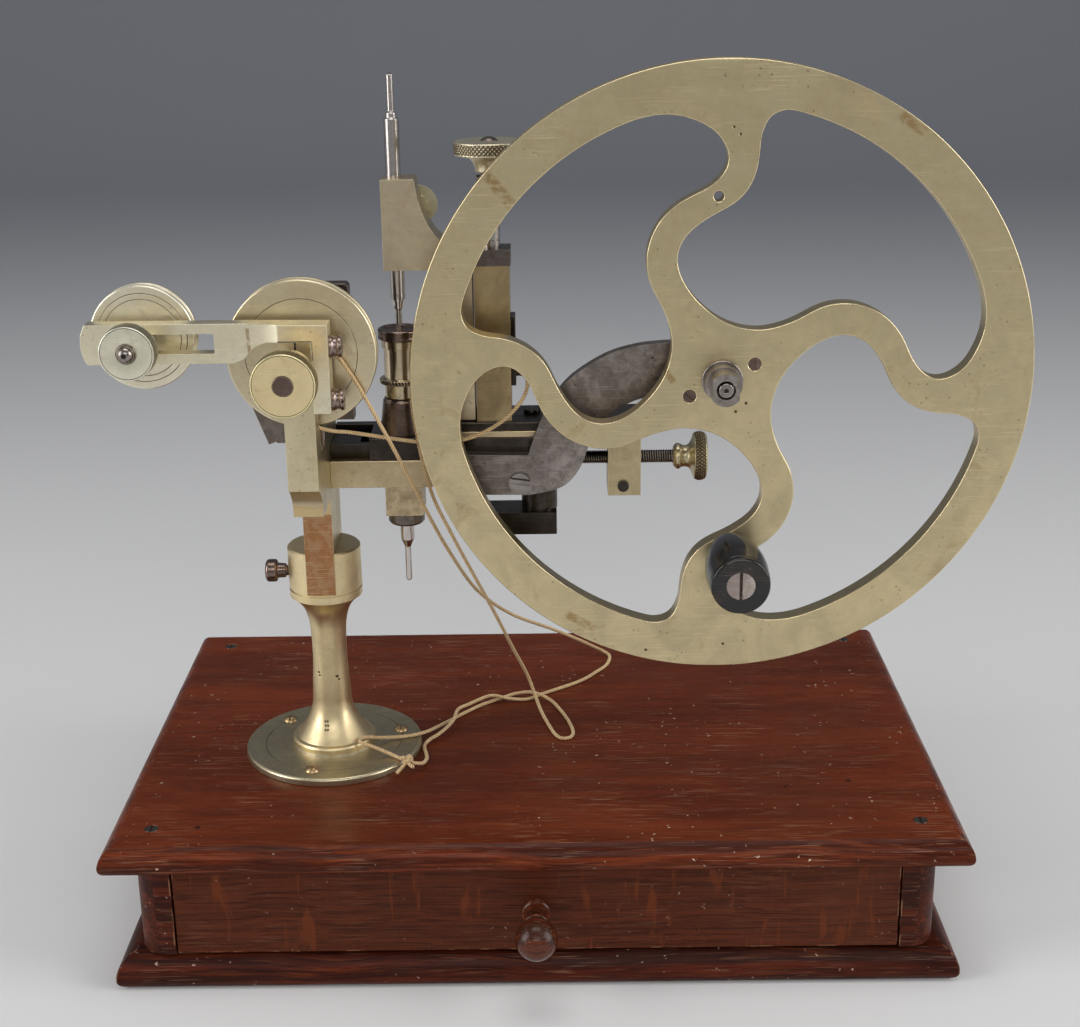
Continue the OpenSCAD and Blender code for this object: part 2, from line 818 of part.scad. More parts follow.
module arm_fixings() {
    head_x = leg_right + arm_leg_w;
    color(bright_steel) {
        at_arm_screws()
            difference() {
                union() {
                    translate([head_x, 0, 0])
                        turned_x()
                            polygon([[0, 0], [arm_screw_r, 0], [arm_screw_r, 0.9], [arm_screw_r - 0.5, 1.6],
                                [arm_screw_r - 0.5, 2.5], [arm_screw_r, 3.1], [arm_screw_r - 0.2, 4], [0, 4]]);
                    rod_x(1.3, axis_x - 2, head_x);
                }
                box([head_x + 3.2, -arm_screw_r - over, -0.4], [head_x + 4 + over, arm_screw_r + over, 0.4]);
            }
        translate([pin_x, pin_y, shelf_z - pin_l]) {
            cylinder(r1 = 0.3, r2 = pin_r, h = 3);
            rod_z(pin_r, 3, pin_l);
        }
    }
}

module bearing_stud() {
    color(dark_steel)
        translate([axis_x, 0, spindle_z])
            difference() {
                union() {
                    rod_y(stud_head_r, stud_face - 0.3, stud_face + 24);
                    rod_y(stud_r, stud_face + 23, stud_tip);
                }
                rod_y(pivot_r + fit_gap, stud_tip - 4, stud_tip + over);
            }
}

module bearing_knob() {
    hub_r = 6;
    bore = stud_head_r + fit_gap;
    color(gold_brass)
        translate([axis_x, stud_face, spindle_z])
            turned_y()
                polygon([[bore, 0], [bearing_knob_r - 0.8, 0], [bearing_knob_r, 0.8],
                    [bearing_knob_r, bearing_knob_t], [bearing_knob_r - 1, bearing_knob_t + 0.6],
                    [hub_r + 1, bearing_knob_t + 0.8], [hub_r, bearing_knob_t + 2], [hub_r, 24], [bore, 24]]);
}

// Spindle with its pulley and cutter
module spindle() {
    color(bright_steel)
        translate([axis_x, 0, spindle_z]) {
            rod_y(pivot_r, stud_tip - 3.5, stud_tip + 0.4);
            rod_y(3, stud_tip + pass_gap, pulley_front);
            rod_y(3.5, pulley_front - 0.1, pulley_back + 0.1);
            rod_y(4.5, pulley_back, bearing_front - pass_gap);
            rod_y(journal_r, bearing_front - pass_gap - 0.1, bearing_back + pass_gap + 0.1);
            rod_y(4.2, bearing_back + pass_gap, axis_y - cutter_t / 2);
            rod_y(2, axis_y - cutter_t / 2 - 0.1, axis_y + 5);
            rod_y(3.6, axis_y + cutter_t / 2, axis_y + 4);
        }
}

// A grooved pulley whose front face lies at y0
module grooved(r, w, y0, depth, groove, bore) {
    translate([0, y0, 0])
        turned_y()
            polygon([[bore, 0], [r - 0.4, 0], [r, 0.4], [r, w / 2 - groove / 2], [r - depth, w / 2 - 0.4],
                [r - depth, w / 2 + 0.4], [r, w / 2 + groove / 2], [r, w - 0.4], [r - 0.4, w], [bore, w]]);
}

module spindle_pulley() {
    color(brass)
        translate([axis_x, 0, spindle_z])
            grooved(pulley_r, pulley_w, pulley_front, groove_depth, groove_w, 3.5 + fit_gap, $fn = 128);
}

module cutter() {
    step = 360 / cutter_teeth;
    color(dark_steel)
        translate([axis_x, 0, spindle_z])
            plate_xz(axis_y - cutter_t / 2, axis_y + cutter_t / 2)
                difference() {
                    polygon([for (i = [0:cutter_teeth - 1]) for (k = [0, 1])
                        (cutter_r - 1.2 * k) * [cos(step * (i + 0.3 * k)), sin(step * (i + 0.3 * k))]]);
                    circle(r = 2 + fit_gap);
                }
}

// Idler on its stud, clamped in the arm's slot
module idler_stud() {
    half = arm_slot_h / 2 - slot_gap;
    color(bright_steel)
        translate([idler_x, 0, arm_z]) {
            rod_y(2.9, arm_slot_front - 14, arm_slot_front);
            translate([0, arm_slot_front - 14, 0])
                sphere(r = 2.9);
            rod_y(half, arm_slot_front - 0.1, arm_back + 0.2);
            rod_y(5, arm_back + 0.1, pulley_front - 0.3);
            rod_y(2.5, pulley_front - 0.4, pulley_back + 0.4);
            rod_y(4.5, pulley_back + 0.3, pulley_back + 1.8);
        }
}

module idler_pulley() {
    color(brass)
        translate([idler_x, 0, arm_z])
            grooved(idler_r, pulley_w, pulley_front, groove_depth, groove_w, 2.5 + fit_gap, $fn = 96);
}

module idler_nut() {
    bore = 2.9 + fit_gap;
    back = arm_slot_front - 0.1;
    color(brass)
        translate([idler_x, back - 13.4, arm_z])
            turned_y()
                polygon([[bore, 0], [idler_nut_r - 1, 0], [idler_nut_r, 0.9], [idler_nut_r, 5.4],
                    [idler_nut_r - 0.9, 6.2], [6, 6.6], [5.5, 7.4], [5.5, 13.4], [bore, 13.4]]);
}

// Lower runner in its block, whose neck reaches the carriage through the bed
module lower_block() {
    color(nickel)
        difference() {
            union() {
                box([runner_x - 6.7, axis_y - 8, bed_z - pass_gap - 11.2],
                    [runner_x + 6.7, axis_y + 8, bed_z - pass_gap]);
                box([runner_x - 4.2, axis_y - bed_slot_w / 2 + 0.15, bed_z - pass_gap - over],
                    [runner_x + 4.2, axis_y + bed_slot_w / 2 - 0.15, way_top + 0.2]);
            }
            translate([runner_x, axis_y, 0])
                rod_z(lower_r + fit_gap, bed_z - 20, way_top + over);
        }
}

module lower_collar() {
    top = bed_z - pass_gap - 11.2;
    color(dark_steel)
        translate([runner_x, axis_y, top - 4.8])
            rotate_extrude()
                polygon([[lower_r + fit_gap, 0], [5.8, 0], [6.6, 0.9], [6.6, 4.8], [lower_r + fit_gap, 4.8]]);
}

lower_runner_z = bed_z - 39.2;

module lower_runner() {
    color(bright_steel)
        translate([runner_x, axis_y, lower_runner_z])
            rotate_extrude()
                polygon([[0, 0], [point_r - 0.5, 0.1], [point_r, 0.7], [point_r, 13.4], [lower_r - 0.4, 15.6],
                    [lower_r, 16.4], [lower_r, lower_l - 9], [point_r, lower_l - 8], [point_r, lower_l - 0.8],
                    [0, lower_l]]);
}

// Carriage
module carriage_base() {
    color(dark_steel)
        difference() {
            box([carriage_x, carriage_front, carriage_z], [carriage_x + carriage_l, carriage_back, carriage_top]);
            translate([0, 0, bed_top])
                plate_yz(carriage_x - over, carriage_x + carriage_l + over)
                    way_section(0.2);
            translate([runner_x, axis_y, 0])
                rod_z(lower_r + fit_gap, bed_top, carriage_top + over);
        }
}

module carriage_strip() {
    color(brass)
        box([runner_x + rest_foot_r + 1.3, carriage_front, carriage_top],
            [carriage_x + carriage_l, carriage_back, strip_top]);
}

module carriage_plate() {
    color(dark_steel)
        box([plate_x, carriage_front, strip_top], [plate_end, carriage_front + top_plate_d, plate_top]);
}

module carriage_screws() {
    color(dark_steel) {
        translate([runner_x + 46.3, axis_y + 3.3, 0])
            difference() {
                rod_z(3, plate_top, plate_top + 1.6);
                box([-0.4, -4, plate_top + 0.9], [0.4, 4, plate_top + 3]);
            }
        translate([nut_x + 5.4, 0, strip_top - nut_block_h + 3.6])
            rod_y(2, axis_y - 9.1, axis_y - 8);
        translate([0, post_mid_y, plate_top + 16.8])
            rod_x(1.7, post_mid_x + post_w / 2 + 1.7, post_mid_x + post_w / 2 + 5);
    }
}

module nut_block() {
    color(brass)
        difference() {
            box([nut_x, axis_y - 8, strip_top - nut_block_h],
                [nut_x + nut_block_w, axis_y + 7, strip_top]);
            translate([0, axis_y, feed_z])
                rod_x(feed_r + fit_gap, nut_x - over, nut_x + nut_block_w + over);
        }
}

module rest_cone() {
    color(dark_steel)
        translate([runner_x, axis_y, carriage_top])
            rotate_extrude()
                polygon([[lower_r + fit_gap, 0], [rest_foot_r, 0], [rest_top_r, rest_cone_h - 0.9],
                    [rest_top_r - 0.5, rest_cone_h - 0.5], [rest_top_r - 0.5, rest_cone_h],
                    [rest_stem_r, rest_cone_h], [rest_stem_r, rest_cone_h + 3.2],
                    [lower_r + fit_gap, rest_cone_h + 3.2]]);
}

sleeve_z = carriage_top + rest_cone_h + pass_gap;
sleeve_top = sleeve_z + rest_sleeve_h;

module rest_sleeve() {
    bore = rest_stem_r + 0.08;
    ring_low = rest_ring_low;
    ring_high = ring_low + rest_ring_w;
    color(brass)
        translate([runner_x, axis_y, sleeve_z])
            rotate_extrude()
                polygon([[bore, 0], [rest_sleeve_r, 0], [rest_sleeve_r, ring_low], [rest_ring_r - 0.4, ring_low],
                    [rest_ring_r, ring_low + 0.4], [rest_ring_r, ring_high - 0.4], [rest_ring_r - 0.4, ring_high],
                    [rest_sleeve_r, ring_high], [rest_sleeve_r, rest_sleeve_h], [bore, rest_sleeve_h]]);
}

module rest_stem() {
    bore = lower_r + fit_gap;
    band_z = sleeve_top + 0.1;
    color(brass)
        translate([runner_x, axis_y, 0])
            rotate_extrude()
                polygon([[bore, sleeve_z + 3.6], [rest_stem_r, sleeve_z + 3.6], [rest_stem_r, band_z],
                    [6.6, band_z], [6.6, band_z + 2.8], [bore, band_z + 2.8]]);
}

module rest_table() {
    z0 = sleeve_top + 2.9;
    color(dark_steel)
        translate([runner_x, axis_y, z0])
            rotate_extrude()
                polygon([[point_r + 0.45, 0], [rest_table_r - 0.4, 0], [rest_table_r, 0.4],
                    [rest_table_r, rest_table_t - 0.5], [rest_table_r - 0.5, rest_table_t],
                    [rest_table_r - 1.6, rest_table_t], [rest_table_r - 2.4, rest_table_t - 0.8],
                    [point_r + 0.45, rest_table_t - 0.8]]);
}

// Post with the height screw
module post() {
    half = post_w / 2;
    lug_gap = 0.4;
    color(brass)
        difference() {
            box([post_mid_x - half, post_mid_y - half, plate_top], [post_mid_x + half, post_mid_y + half, post_top]);
            translate([post_mid_x, post_mid_y, 0])
                rod_z(height_rod_r + fit_gap, plate_top + 19, post_top + over);
            box([post_mid_x - half - over, post_mid_y - lug_w / 2 - lug_gap, lug_z - 0.6],
                [post_mid_x + 3.6, post_mid_y + lug_w / 2 + lug_gap, lug_z + lug_h + arm_travel + 0.8]);
        }
}

module post_cap() {
    half = post_w / 2 + 0.5;
    color(dark_steel)
        difference() {
            box([post_mid_x - half, post_mid_y - half, post_top], [post_mid_x + half, post_mid_y + half, cap_top]);
            translate([post_mid_x, post_mid_y, 0])
                rod_z(height_rod_r + fit_gap, post_top - over, cap_top + over);
        }
}

module gib_strip() {
    x0 = post_mid_x + post_w / 2;
    color(dark_steel)
        box([x0, post_mid_y - 4, plate_top + 12.5], [x0 + 1.7, post_mid_y + 4, plate_top + 37.3]);
}

module height_screw() {
    thread_end = plate_top + 20.5;
    rod_top = cap_top + height_rod_l;
    color(bright_steel)
        translate([post_mid_x, post_mid_y, 0])
            difference() {
                rotate_extrude()
                    polygon([[0, thread_end], [height_thread_r - 0.5, thread_end],
                        [height_thread_r, thread_end + 0.6], [height_thread_r, post_top - 0.2],
                        [height_rod_r, post_top + 0.2], [height_rod_r, cap_top + 2.4],
                        [height_rod_r - 0.3, cap_top + 2.6], [height_rod_r - 0.3, cap_top + 3],
                        [height_rod_r, cap_top + 3.2], [height_rod_r, rod_top], [0, rod_top]]);
                translate([0, 0, cap_top + 23.4])
                    rod_x(1.35 + fit_gap, -height_rod_r - over, height_rod_r + over);
            }
}

module height_knob() {
    rim_z = cap_top + height_rod_l - height_knob_t;
    bore = height_rod_r + fit_gap;
    neck_z = rim_z - 5.5;
    color(brass)
        translate([post_mid_x, post_mid_y, 0])
            rotate_extrude()
                polygon(concat([[bore, neck_z], [5, neck_z]],
                    arc(height_knob_r - 1.2, neck_z, height_knob_r - 6.2, 180, 105, 6),
                    [[height_knob_r - 0.6, rim_z], [height_knob_r, rim_z + 0.6],
                        [height_knob_r, rim_z + height_knob_t - 0.5], [height_knob_r - 0.6, rim_z + height_knob_t],
                        [bore, rim_z + height_knob_t]]));
}

module height_pins() {
    top = cap_top + height_rod_l;
    color(dark_steel)
        translate([post_mid_x, post_mid_y, 0]) {
            intersection() {
                translate([0, 0, top + 1.4 - 3.8])
                    sphere(r = 3.8);
                rod_z(4, top, top + 2);
            }
            translate([0, 0, cap_top + 23.4])
                rod_x(1.35, -4.6, 13.6);
        }
}

// Runner arm: clamp block, bridge and slide in one piece
function runner_arm_outline(right, left, slide, low, top) = concat(
    [[left, low], [left, top], [left + runner_block_w, top]],
    smooth_run([[left + runner_block_w + 0.2, top - 0.6], [left + runner_block_w + 1.7, top - 8.5],
        [left + runner_block_w + 4.2, top - 14.8], [left + runner_block_w + 7.2, top - 19.4],
        [left + runner_block_w + 11, top - 22]], 4),
    [[right - 5, top - 23]],
    arc(right - 5, low + 3, 5, 90, 0, 5),
    [[right, slide], [right - arm_slide_w, slide], [right - arm_slide_w, low]]);

module runner_arm() {
    right = post_mid_x - post_w / 2 - 0.6;
    y0 = axis_y - runner_arm_d / 2 - 0.25;
    y1 = y0 + runner_arm_d;
    color(brass)
        difference() {
            union() {
                plate_xz(y0, y1)
                    polygon(runner_arm_outline(right, runner_x - 4, plate_top + 0.4, arm_block_z,
                        arm_block_z + runner_block_h));
                box([right - over, post_mid_y - lug_w / 2, lug_z],
                    [post_mid_x + 3.2, post_mid_y + lug_w / 2, lug_z + lug_h]);
            }
            translate([runner_x, axis_y, 0])
                rod_z(upper_r + fit_gap, arm_block_z - over, arm_block_z + runner_block_h + over);
            translate([post_mid_x, post_mid_y, 0])
                rod_z(height_thread_r + fit_gap, lug_z - over, lug_z + lug_h + over);
            translate([runner_x + 7.8, 0, arm_block_z + 20.5])
                rod_y(1.6 + fit_gap, axis_y, y1 + over);
        }
}

module runner_clamp() {
    y1 = axis_y + runner_arm_d / 2 - 0.25;
    color(gold_brass)
        translate([runner_x + 7.8, 0, arm_block_z + 20.5]) {
            rod_y(1.6, axis_y + 0.5, y1 + 1);
            rod_y(3.2, y1 + 0.1, y1 + 1.2);
            translate([0, y1 + 1, 0])
                intersection() {
                    sphere(r = clamp_knob_r);
                    rod_y(clamp_knob_r + over, 0, clamp_knob_r + over);
                }
        }
}

module upper_runner() {
    bottom = lower_runner_z + lower_l + point_gap;
    color(bright_steel)
        translate([runner_x, axis_y, bottom])
            rotate_extrude()
                polygon([[0, 0], [point_r, 0.6], [point_r, 8.8], [point_r + 0.7, 9.2], [point_r + 0.7, 10.2],
                    [upper_r - 0.4, 11.6], [upper_r, 12.6], [upper_r, upper_l - 15.2], [point_r + 0.7, upper_l - 14.8],
                    [point_r + 0.7, upper_l - 13.4], [point_r + 0.05, upper_l - 12.6], [point_r + 0.05, upper_l - 0.7],
                    [0, upper_l]]);
}

// Feed screw
module feed_screw() {
    color(dark_steel)
        translate([0, axis_y, feed_z]) {
            rod_x(feed_journal_r, bed_end - 13.5, bed_end + pass_gap + 0.1);
            rod_x(feed_r, bed_end + pass_gap, bed_end + pass_gap + feed_l);
        }
}

module feed_knob() {
    x0 = bed_end + pass_gap + feed_l;
    color(brass)
        translate([x0, axis_y, feed_z])
            turned_x()
                polygon(concat([[0, 0], [feed_r + 0.2, 0], [4.4, 2], [4.4, 2.5]],
                    smooth_run([[4.2, 2.8], [3.5, 4.2], [3.7, 5.6], [5, 6.6], [feed_knob_r - 0.6, 7]], 4),
                    [[feed_knob_r, 7.6], [feed_knob_r, 7 + feed_knob_t - 0.6],
                        [feed_knob_r - 0.7, 7 + feed_knob_t], [0, 7 + feed_knob_t]]));
}

// Steel arm that carries the hand wheel
function carrier_lower() = smooth_run(
    [[-66, -44.7], [-57, -42.9], [-51.7, -40], [-47.5, -34.2], [-44.8, -27], [-41, -19.5],
        [-34.3, -13.4], [-25, -9.6], [-13, -9.4], [-3, -9.6]], 4);
function carrier_upper() = smooth_run(
    [[-3, 10], [-14.8, 9.9], [-22, 9.5], [-28.2, 8.7], [-37.4, 6.1], [-46.7, 0.9], [-53.6, -5],
        [-60.5, -15.1], [-66.2, -30.1]], 4);

module carrier_arm() {
    color(dark_steel)
        translate([wheel_x, 0, wheel_z])
            plate_xz(bed_front - carrier_t, bed_front)
                difference() {
                    union() {
                        polygon(concat([[-95, -44.3]], carrier_lower(), carrier_upper(), [[-95, -29.5]]));
                        circle(r = 10);
                    }
                    circle(r = axle_r + fit_gap);
                }
}

module carrier_fixings() {
    face = bed_front - carrier_t;
    nut_y = wheel_front - pass_gap - 2.2;
    color(bright_steel) {
        translate([wheel_x - 69.3, 0, wheel_z - 40.2])
            difference() {
                rod_y(3.75, face - 0.9, face);
                rotate([0, 8, 0])
                    box([-5, face - 2, -0.5], [5, face - 0.3, 0.5]);
            }
        translate([wheel_x, 0, wheel_z])
            difference() {
                union() {
                    rod_y(6.2, nut_y - 5.5, nut_y);
                    intersection() {
                        rod_y(5.6, nut_y - 12.5, nut_y - 5);
                        box([-4.5, nut_y - 14, -7], [4.5, nut_y, 7]);
                    }
                }
                rod_y(axle_r + fit_gap, nut_y - 8, nut_y + over);
                rod_y(3.2, nut_y - 14, nut_y - 7.9);
            }
    }
}

module wheel_axle() {
    nut_y = wheel_front - pass_gap - 2.2;
    color(bright_steel)
        translate([wheel_x, 0, wheel_z]) {
            rod_y(6.5, bed_front, bed_front + 3);
            rod_y(axle_r, nut_y - 7.8, bed_front + 0.1);
            rod_y(7, nut_y, nut_y + 2.2);
            rod_y(2.4, nut_y - 13, nut_y - 7);
        }
}

// Edge of one opening between two S-shaped spokes, from rim to rim, for a wheel of 92 mm inside
spoke_edge = [
    [88.6, 22], [88, 14], [83.4, 3.8], [76, -1.3], [69.5, -0.4], [64, 5.4], [59.4, 14.8], [52.2, 21.9],
    [42.5, 25.2], [33, 24], [24, 19.2], [13, 16.3], [2, 18.4], [-7, 24.4], [-13.6, 32.6], [-16.3, 41],
    [-13.4, 49], [-5.4, 55.4], [3.2, 60], [8.2, 66.2], [10.2, 74], [10.6, 81.5], [13.5, 88]];

// Hand-filed spokes lean a little: degrees at the start and end of each opening's edge, and the
// radius that the lean starts from
spoke_leans = [[0, 0, 20], [0, -1.5, 20], [-3.6, -1.6, 20], [0, -3.4, 35]];

function lean(p, angle, from) =
    let (a = angle * max(0, min(1, (norm(p) - from) / 40))) [p[0] * cos(a) - p[1] * sin(a), p[0] * sin(a) + p[1] * cos(a)];

module wheel_opening(inner_r, leans) {
    edge = [for (i = [0:len(spoke_edge) - 1])
        lean(spoke_edge[i], i < 12 ? leans[0] : leans[1], leans[2]) * inner_r / 92];
    rim = [for (i = [0:15]) let (a = 78 + leans[1] + i * (leans[0] - leans[1] - 60) / 15) inner_r * [cos(a), sin(a)]];
    polygon(concat(rim, smooth_run(edge, 3)));
}

function hub_screw_places() = [[12.2 * cos(25), 12.2 * sin(25)], [12.2 * cos(208), 12.2 * sin(208)]];

module hand_wheel() {
    color(brass)
        translate([wheel_x, 0, wheel_z])
            difference() {
                union() {
                    translate([0, wheel_front, 0])
                        turned_y($fn = 180)
                            polygon([[axle_r + fit_gap, 0], [wheel_r - 0.6, 0], [wheel_r, 0.6],
                                [wheel_r, wheel_t / 2 - rim_groove_w / 2], [wheel_r - rim_groove_depth, wheel_t / 2 - 0.5],
                                [wheel_r - rim_groove_depth, wheel_t / 2 + 0.5],
                                [wheel_r, wheel_t / 2 + rim_groove_w / 2], [wheel_r, wheel_t - 0.6],
                                [wheel_r - 0.6, wheel_t], [axle_r + fit_gap, wheel_t]]);
                    difference() {
                        rod_y(wheel_boss_r, wheel_back - over, bed_front - carrier_t - pass_gap);
                        rod_y(axle_r + fit_gap, wheel_back - 2 * over, bed_front);
                    }
                }
                for (k = [0:3])
                    rotate([0, 90 * k, 0])
                        plate_xz(wheel_front - over, wheel_back + over)
                            wheel_opening(wheel_r - rim_w, spoke_leans[k]);
                translate([spare_x, 0, spare_z])
                    rod_y(crank_hole_r, wheel_front - over, wheel_back + over);
                translate([crank_x, 0, crank_z])
                    rod_y(2.2 + fit_gap, wheel_front - over, wheel_back + over);
                for (p = hub_screw_places())
                    translate([p[0], 0, p[1]])
                        rod_y(2.75 + fit_gap, wheel_front - over, wheel_front + 1.6);
            }
}

module hub_screws() {
    color(dark_steel)
        translate([wheel_x, 0, wheel_z])
            for (p = hub_screw_places())
                translate([p[0], 0, p[1]])
                    difference() {
                        rod_y(2.75, wheel_front + 0.1, wheel_front + 1.6);
                        rotate([0, p[0] > 0 ? 85 : 40, 0])
                            box([-4, wheel_front - over, -0.35], [4, wheel_front + 0.7, 0.35]);
                    }
}

crank_back = wheel_front - pass_gap;
crank_front = crank_back - crank_l;

module crank_screw() {
    color(bright_steel)
        translate([wheel_x + crank_x, 0, wheel_z + crank_z])
            difference() {
                union() {
                    rod_y(2.2, wheel_front - 1, wheel_back);
                    rod_y(2.8, crank_front + 2.4, wheel_front);
                    rod_y(crank_screw_r, crank_front + 0.2, crank_front + 2.5);
                }
                box([-0.5, crank_front - over, -6], [0.5, crank_front + 1.4, 6]);
            }
}

// Barrel-shaped crank knob, from its face to the wheel
module crank_knob() {
    bore = 2.8 + fit_gap;
    color(ebonite)
        translate([wheel_x + crank_x, crank_front, wheel_z + crank_z])
            turned_y($fn = 96)
                polygon(concat([[bore, 2.6], [crank_screw_r + fit_gap, 2.6], [crank_screw_r + fit_gap, 0]],
                    smooth_run([[crank_r - 1.5, 0], [crank_r - 0.8, 0.5], [crank_r - 0.35, 5], [crank_r, crank_l * 0.4],
                        [crank_r - 0.5, crank_l * 0.64], [crank_r - 1.6, crank_l * 0.85], [7.8, crank_l - 0.4],
                        [7.2, crank_l]], 4),
                    [[bore, crank_l]]));
}

// Clamp under the right end of the bed
module bed_clamp() {
    x0 = bed_end - 9.6;
    bush_low = bed_z - 10.9;
    bar_low = bush_low - 8.2;
    color(dark_steel) {
        translate([x0, axis_y, 0])
            rod_z(6.5, bush_low, bed_z);
        box([x0 - 22.6, axis_y - 8, bar_low], [x0 + 6.2, axis_y + 7, bush_low]);
        translate([x0, axis_y, bar_low - 1.5])
            cylinder(r1 = 2.6, r2 = 3.2, h = 1.5);
    }
}

// Drive cord: lies on the deck, rises behind the wheel, passes the bed, goes round the
// spindle's nose and comes down again behind the wheel to its own knot. Its points are
// measured from the pillar's axis and the deck.
cord_route = [
    [27.4, -19.4, 3.9], [23.5, -16, 4], [15, -13, 6.7], [12, -12, 7.5], [11.5, -10, 7.5],
    [13.5, -8.5, 7.3], [16.5, -5.5, 6.1], [21, -2, 4.3], [28, 0, 3.9], [34, 3, 3.8],
    [43.5, 20, 0.8], [55, 33.5, 0.8], [62.5, 39.5, 0.8], [69, 43, 1.3], [76, 39, 3.5],
    [82.5, 35.5, 1.9], [87, 27, 0.8], [90, 14, 0.8], [90.5, 6, 0.8], [88.5, 2, 0.8],
    [85.5, 4.5, 0.8], [81.5, 15.5, 1.3], [78.5, 25.5, 3], [76.5, 32, 6], [74, 33, 13],
    [68.5, 20, 31], [61.5, 7, 52.5], [48, -10, 88.5], [41.5, -15.5, 106.5], [37.5, -17.8, 127],
    [36, -18, 145.5], [39, -18.5, 155], [50, -19, 159.5], [68.5, -19, 157], [73.5, -19, 153],
    [76, -19, 148.5], [75.5, -19, 144], [73, -19, 139.5], [67, -19, 133.5], [58, -19, 128.5],
    [50, -19.2, 126.5], [41, -20.2, 126.5], [22.5, -24.5, 130.5], [15, -27, 132.5],
    [8, -29.6, 134.1], [1.5, -30.4, 137.1], [-3, -30.4, 143.5], [-5, -30.4, 151],
    [-5, -30.4, 158], [-3, -30.4, 163.5], [0.5, -30.4, 165.5], [5.5, -30.4, 164],
    [11, -30.4, 161.5], [16.5, -30.4, 154], [27, -29, 133], [37, -19.5, 107], [41.5, -11, 93],
    [46.5, -1, 78.5], [55, 17, 57], [67, 37, 39], [84, 62, 21.5], [94, 74, 12], [102, 83.5, 4],
    [107, 84, 1], [108, 79.5, 0.8], [106.5, 71.5, 0.8], [102, 64.5, 0.8], [95.5, 56, 0.8],
    [79.5, 43.5, 0.8], [73, 38.5, 0.8], [65.5, 38, 1.5], [59, 36.5, 3.5], [50, 32, 1.9],
    [46, 23.5, 3.5], [44.5, 16, 2.5], [39.5, 4, 2.5], [36, 2.5, 1.5], [34.5, -1.5, 0.8],
    [36, -13, 0.9], [34.5, -19.5, 2.1], [31.2, -22.2, 3.7]
];

function unit(v) = v / norm(v);
function route_direction(p, i) = unit(p[min(i + 1, len(p) - 1)] - p[max(i - 1, 0)]);
function square_to(n, t) = unit(n - (n * t) * t);
function route_sides(p, i, n) =
    i >= len(p) ? [] : let (m = square_to(n, route_direction(p, i))) concat([m], route_sides(p, i + 1, m));

module tube(p, r, sides) {
    across = route_sides(p, 0, [0.2, 0.3, 1]);
    points = [for (i = [0:len(p) - 1]) for (k = [0:sides - 1])
        let (m = across[i], b = cross(route_direction(p, i), m), a = 360 * k / sides)
            p[i] + r * (m * cos(a) + b * sin(a))];
    last = (len(p) - 1) * sides;
    faces = concat(
        [for (k = [1:sides - 2]) [0, k, k + 1]],
        [for (k = [1:sides - 2]) [last, last + k + 1, last + k]],
        [for (i = [0:len(p) - 2]) for (k = [0:sides - 1])
            let (a = i * sides + k, b = i * sides + (k + 1) % sides) [a, a + sides, b]],
        [for (i = [0:len(p) - 2]) for (k = [0:sides - 1])
            let (a = i * sides + k, b = i * sides + (k + 1) % sides) [b, a + sides, b + sides]]);
    polyhedron(points = points, faces = faces);
}

module drive_cord() {
    color(twine)
        translate([axis_x, axis_y, deck_z])
            tube(cord_route, cord_d / 2, 8);
}

module cord_knot() {
    color(twine)
        translate([axis_x + 29.2, axis_y - 20.9, deck_z + 4.4])
            sphere(r = 2);
}

plinth();
case_walls();
top_board();
board_screws();
drawer_front();
drawer_tray();
drawer_knob();
pillar_flange();
flange_screws();
pillar();
pillar_thumbscrew();
frame_leg();
bed_bar();
bed_way();
bed_rail();
bearing_plate();
stop_lever();
idler_arm();
arm_fixings();
bearing_stud();
bearing_knob();
spindle();
spindle_pulley();
cutter();
idler_stud();
idler_pulley();
idler_nut();
lower_block();
lower_collar();
lower_runner();
carriage_base();
carriage_strip();
carriage_plate();
carriage_screws();
nut_block();
rest_cone();
rest_sleeve();
rest_stem();
rest_table();
post();
post_cap();
gib_strip();
height_screw();
height_knob();
height_pins();
runner_arm();
runner_clamp();
upper_runner();
feed_screw();
feed_knob();
carrier_arm();
carrier_fixings();
wheel_axle();
hand_wheel();
hub_screws();
crank_screw();
crank_knob();
bed_clamp();
drive_cord();
cord_knot();
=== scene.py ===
"""Looks of the wheel topping tool: camera, drive cord, wood, brass and steel pieces, studio.

Everything is in metres, in the frame of the CAD model: +Z up, +X to the right, +Y away from
the operator. Sizes and places come from the boxes of the CAD nodes.
"""

import json
import math

import bmesh
import bpy
from mathutils import Matrix, Vector


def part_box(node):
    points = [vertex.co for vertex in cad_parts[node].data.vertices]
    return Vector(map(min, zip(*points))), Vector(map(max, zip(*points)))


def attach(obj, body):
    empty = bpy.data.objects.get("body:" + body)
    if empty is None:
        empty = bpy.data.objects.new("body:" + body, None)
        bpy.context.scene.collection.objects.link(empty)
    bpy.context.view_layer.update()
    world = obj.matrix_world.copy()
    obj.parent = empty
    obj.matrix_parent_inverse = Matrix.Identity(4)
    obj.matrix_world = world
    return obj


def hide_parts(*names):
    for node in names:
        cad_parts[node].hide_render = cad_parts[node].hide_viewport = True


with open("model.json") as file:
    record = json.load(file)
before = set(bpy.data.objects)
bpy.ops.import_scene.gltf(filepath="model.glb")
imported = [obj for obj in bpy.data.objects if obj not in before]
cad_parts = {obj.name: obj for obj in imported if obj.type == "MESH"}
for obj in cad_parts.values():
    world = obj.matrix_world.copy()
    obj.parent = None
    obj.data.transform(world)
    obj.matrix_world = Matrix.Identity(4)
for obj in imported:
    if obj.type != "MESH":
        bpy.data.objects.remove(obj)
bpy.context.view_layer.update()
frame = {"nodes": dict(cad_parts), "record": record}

MM = 0.001
TURN = 2 * math.pi
AXES = {"x": Vector((1, 0, 0)), "y": Vector((0, 1, 0)), "z": Vector((0, 0, 1))}


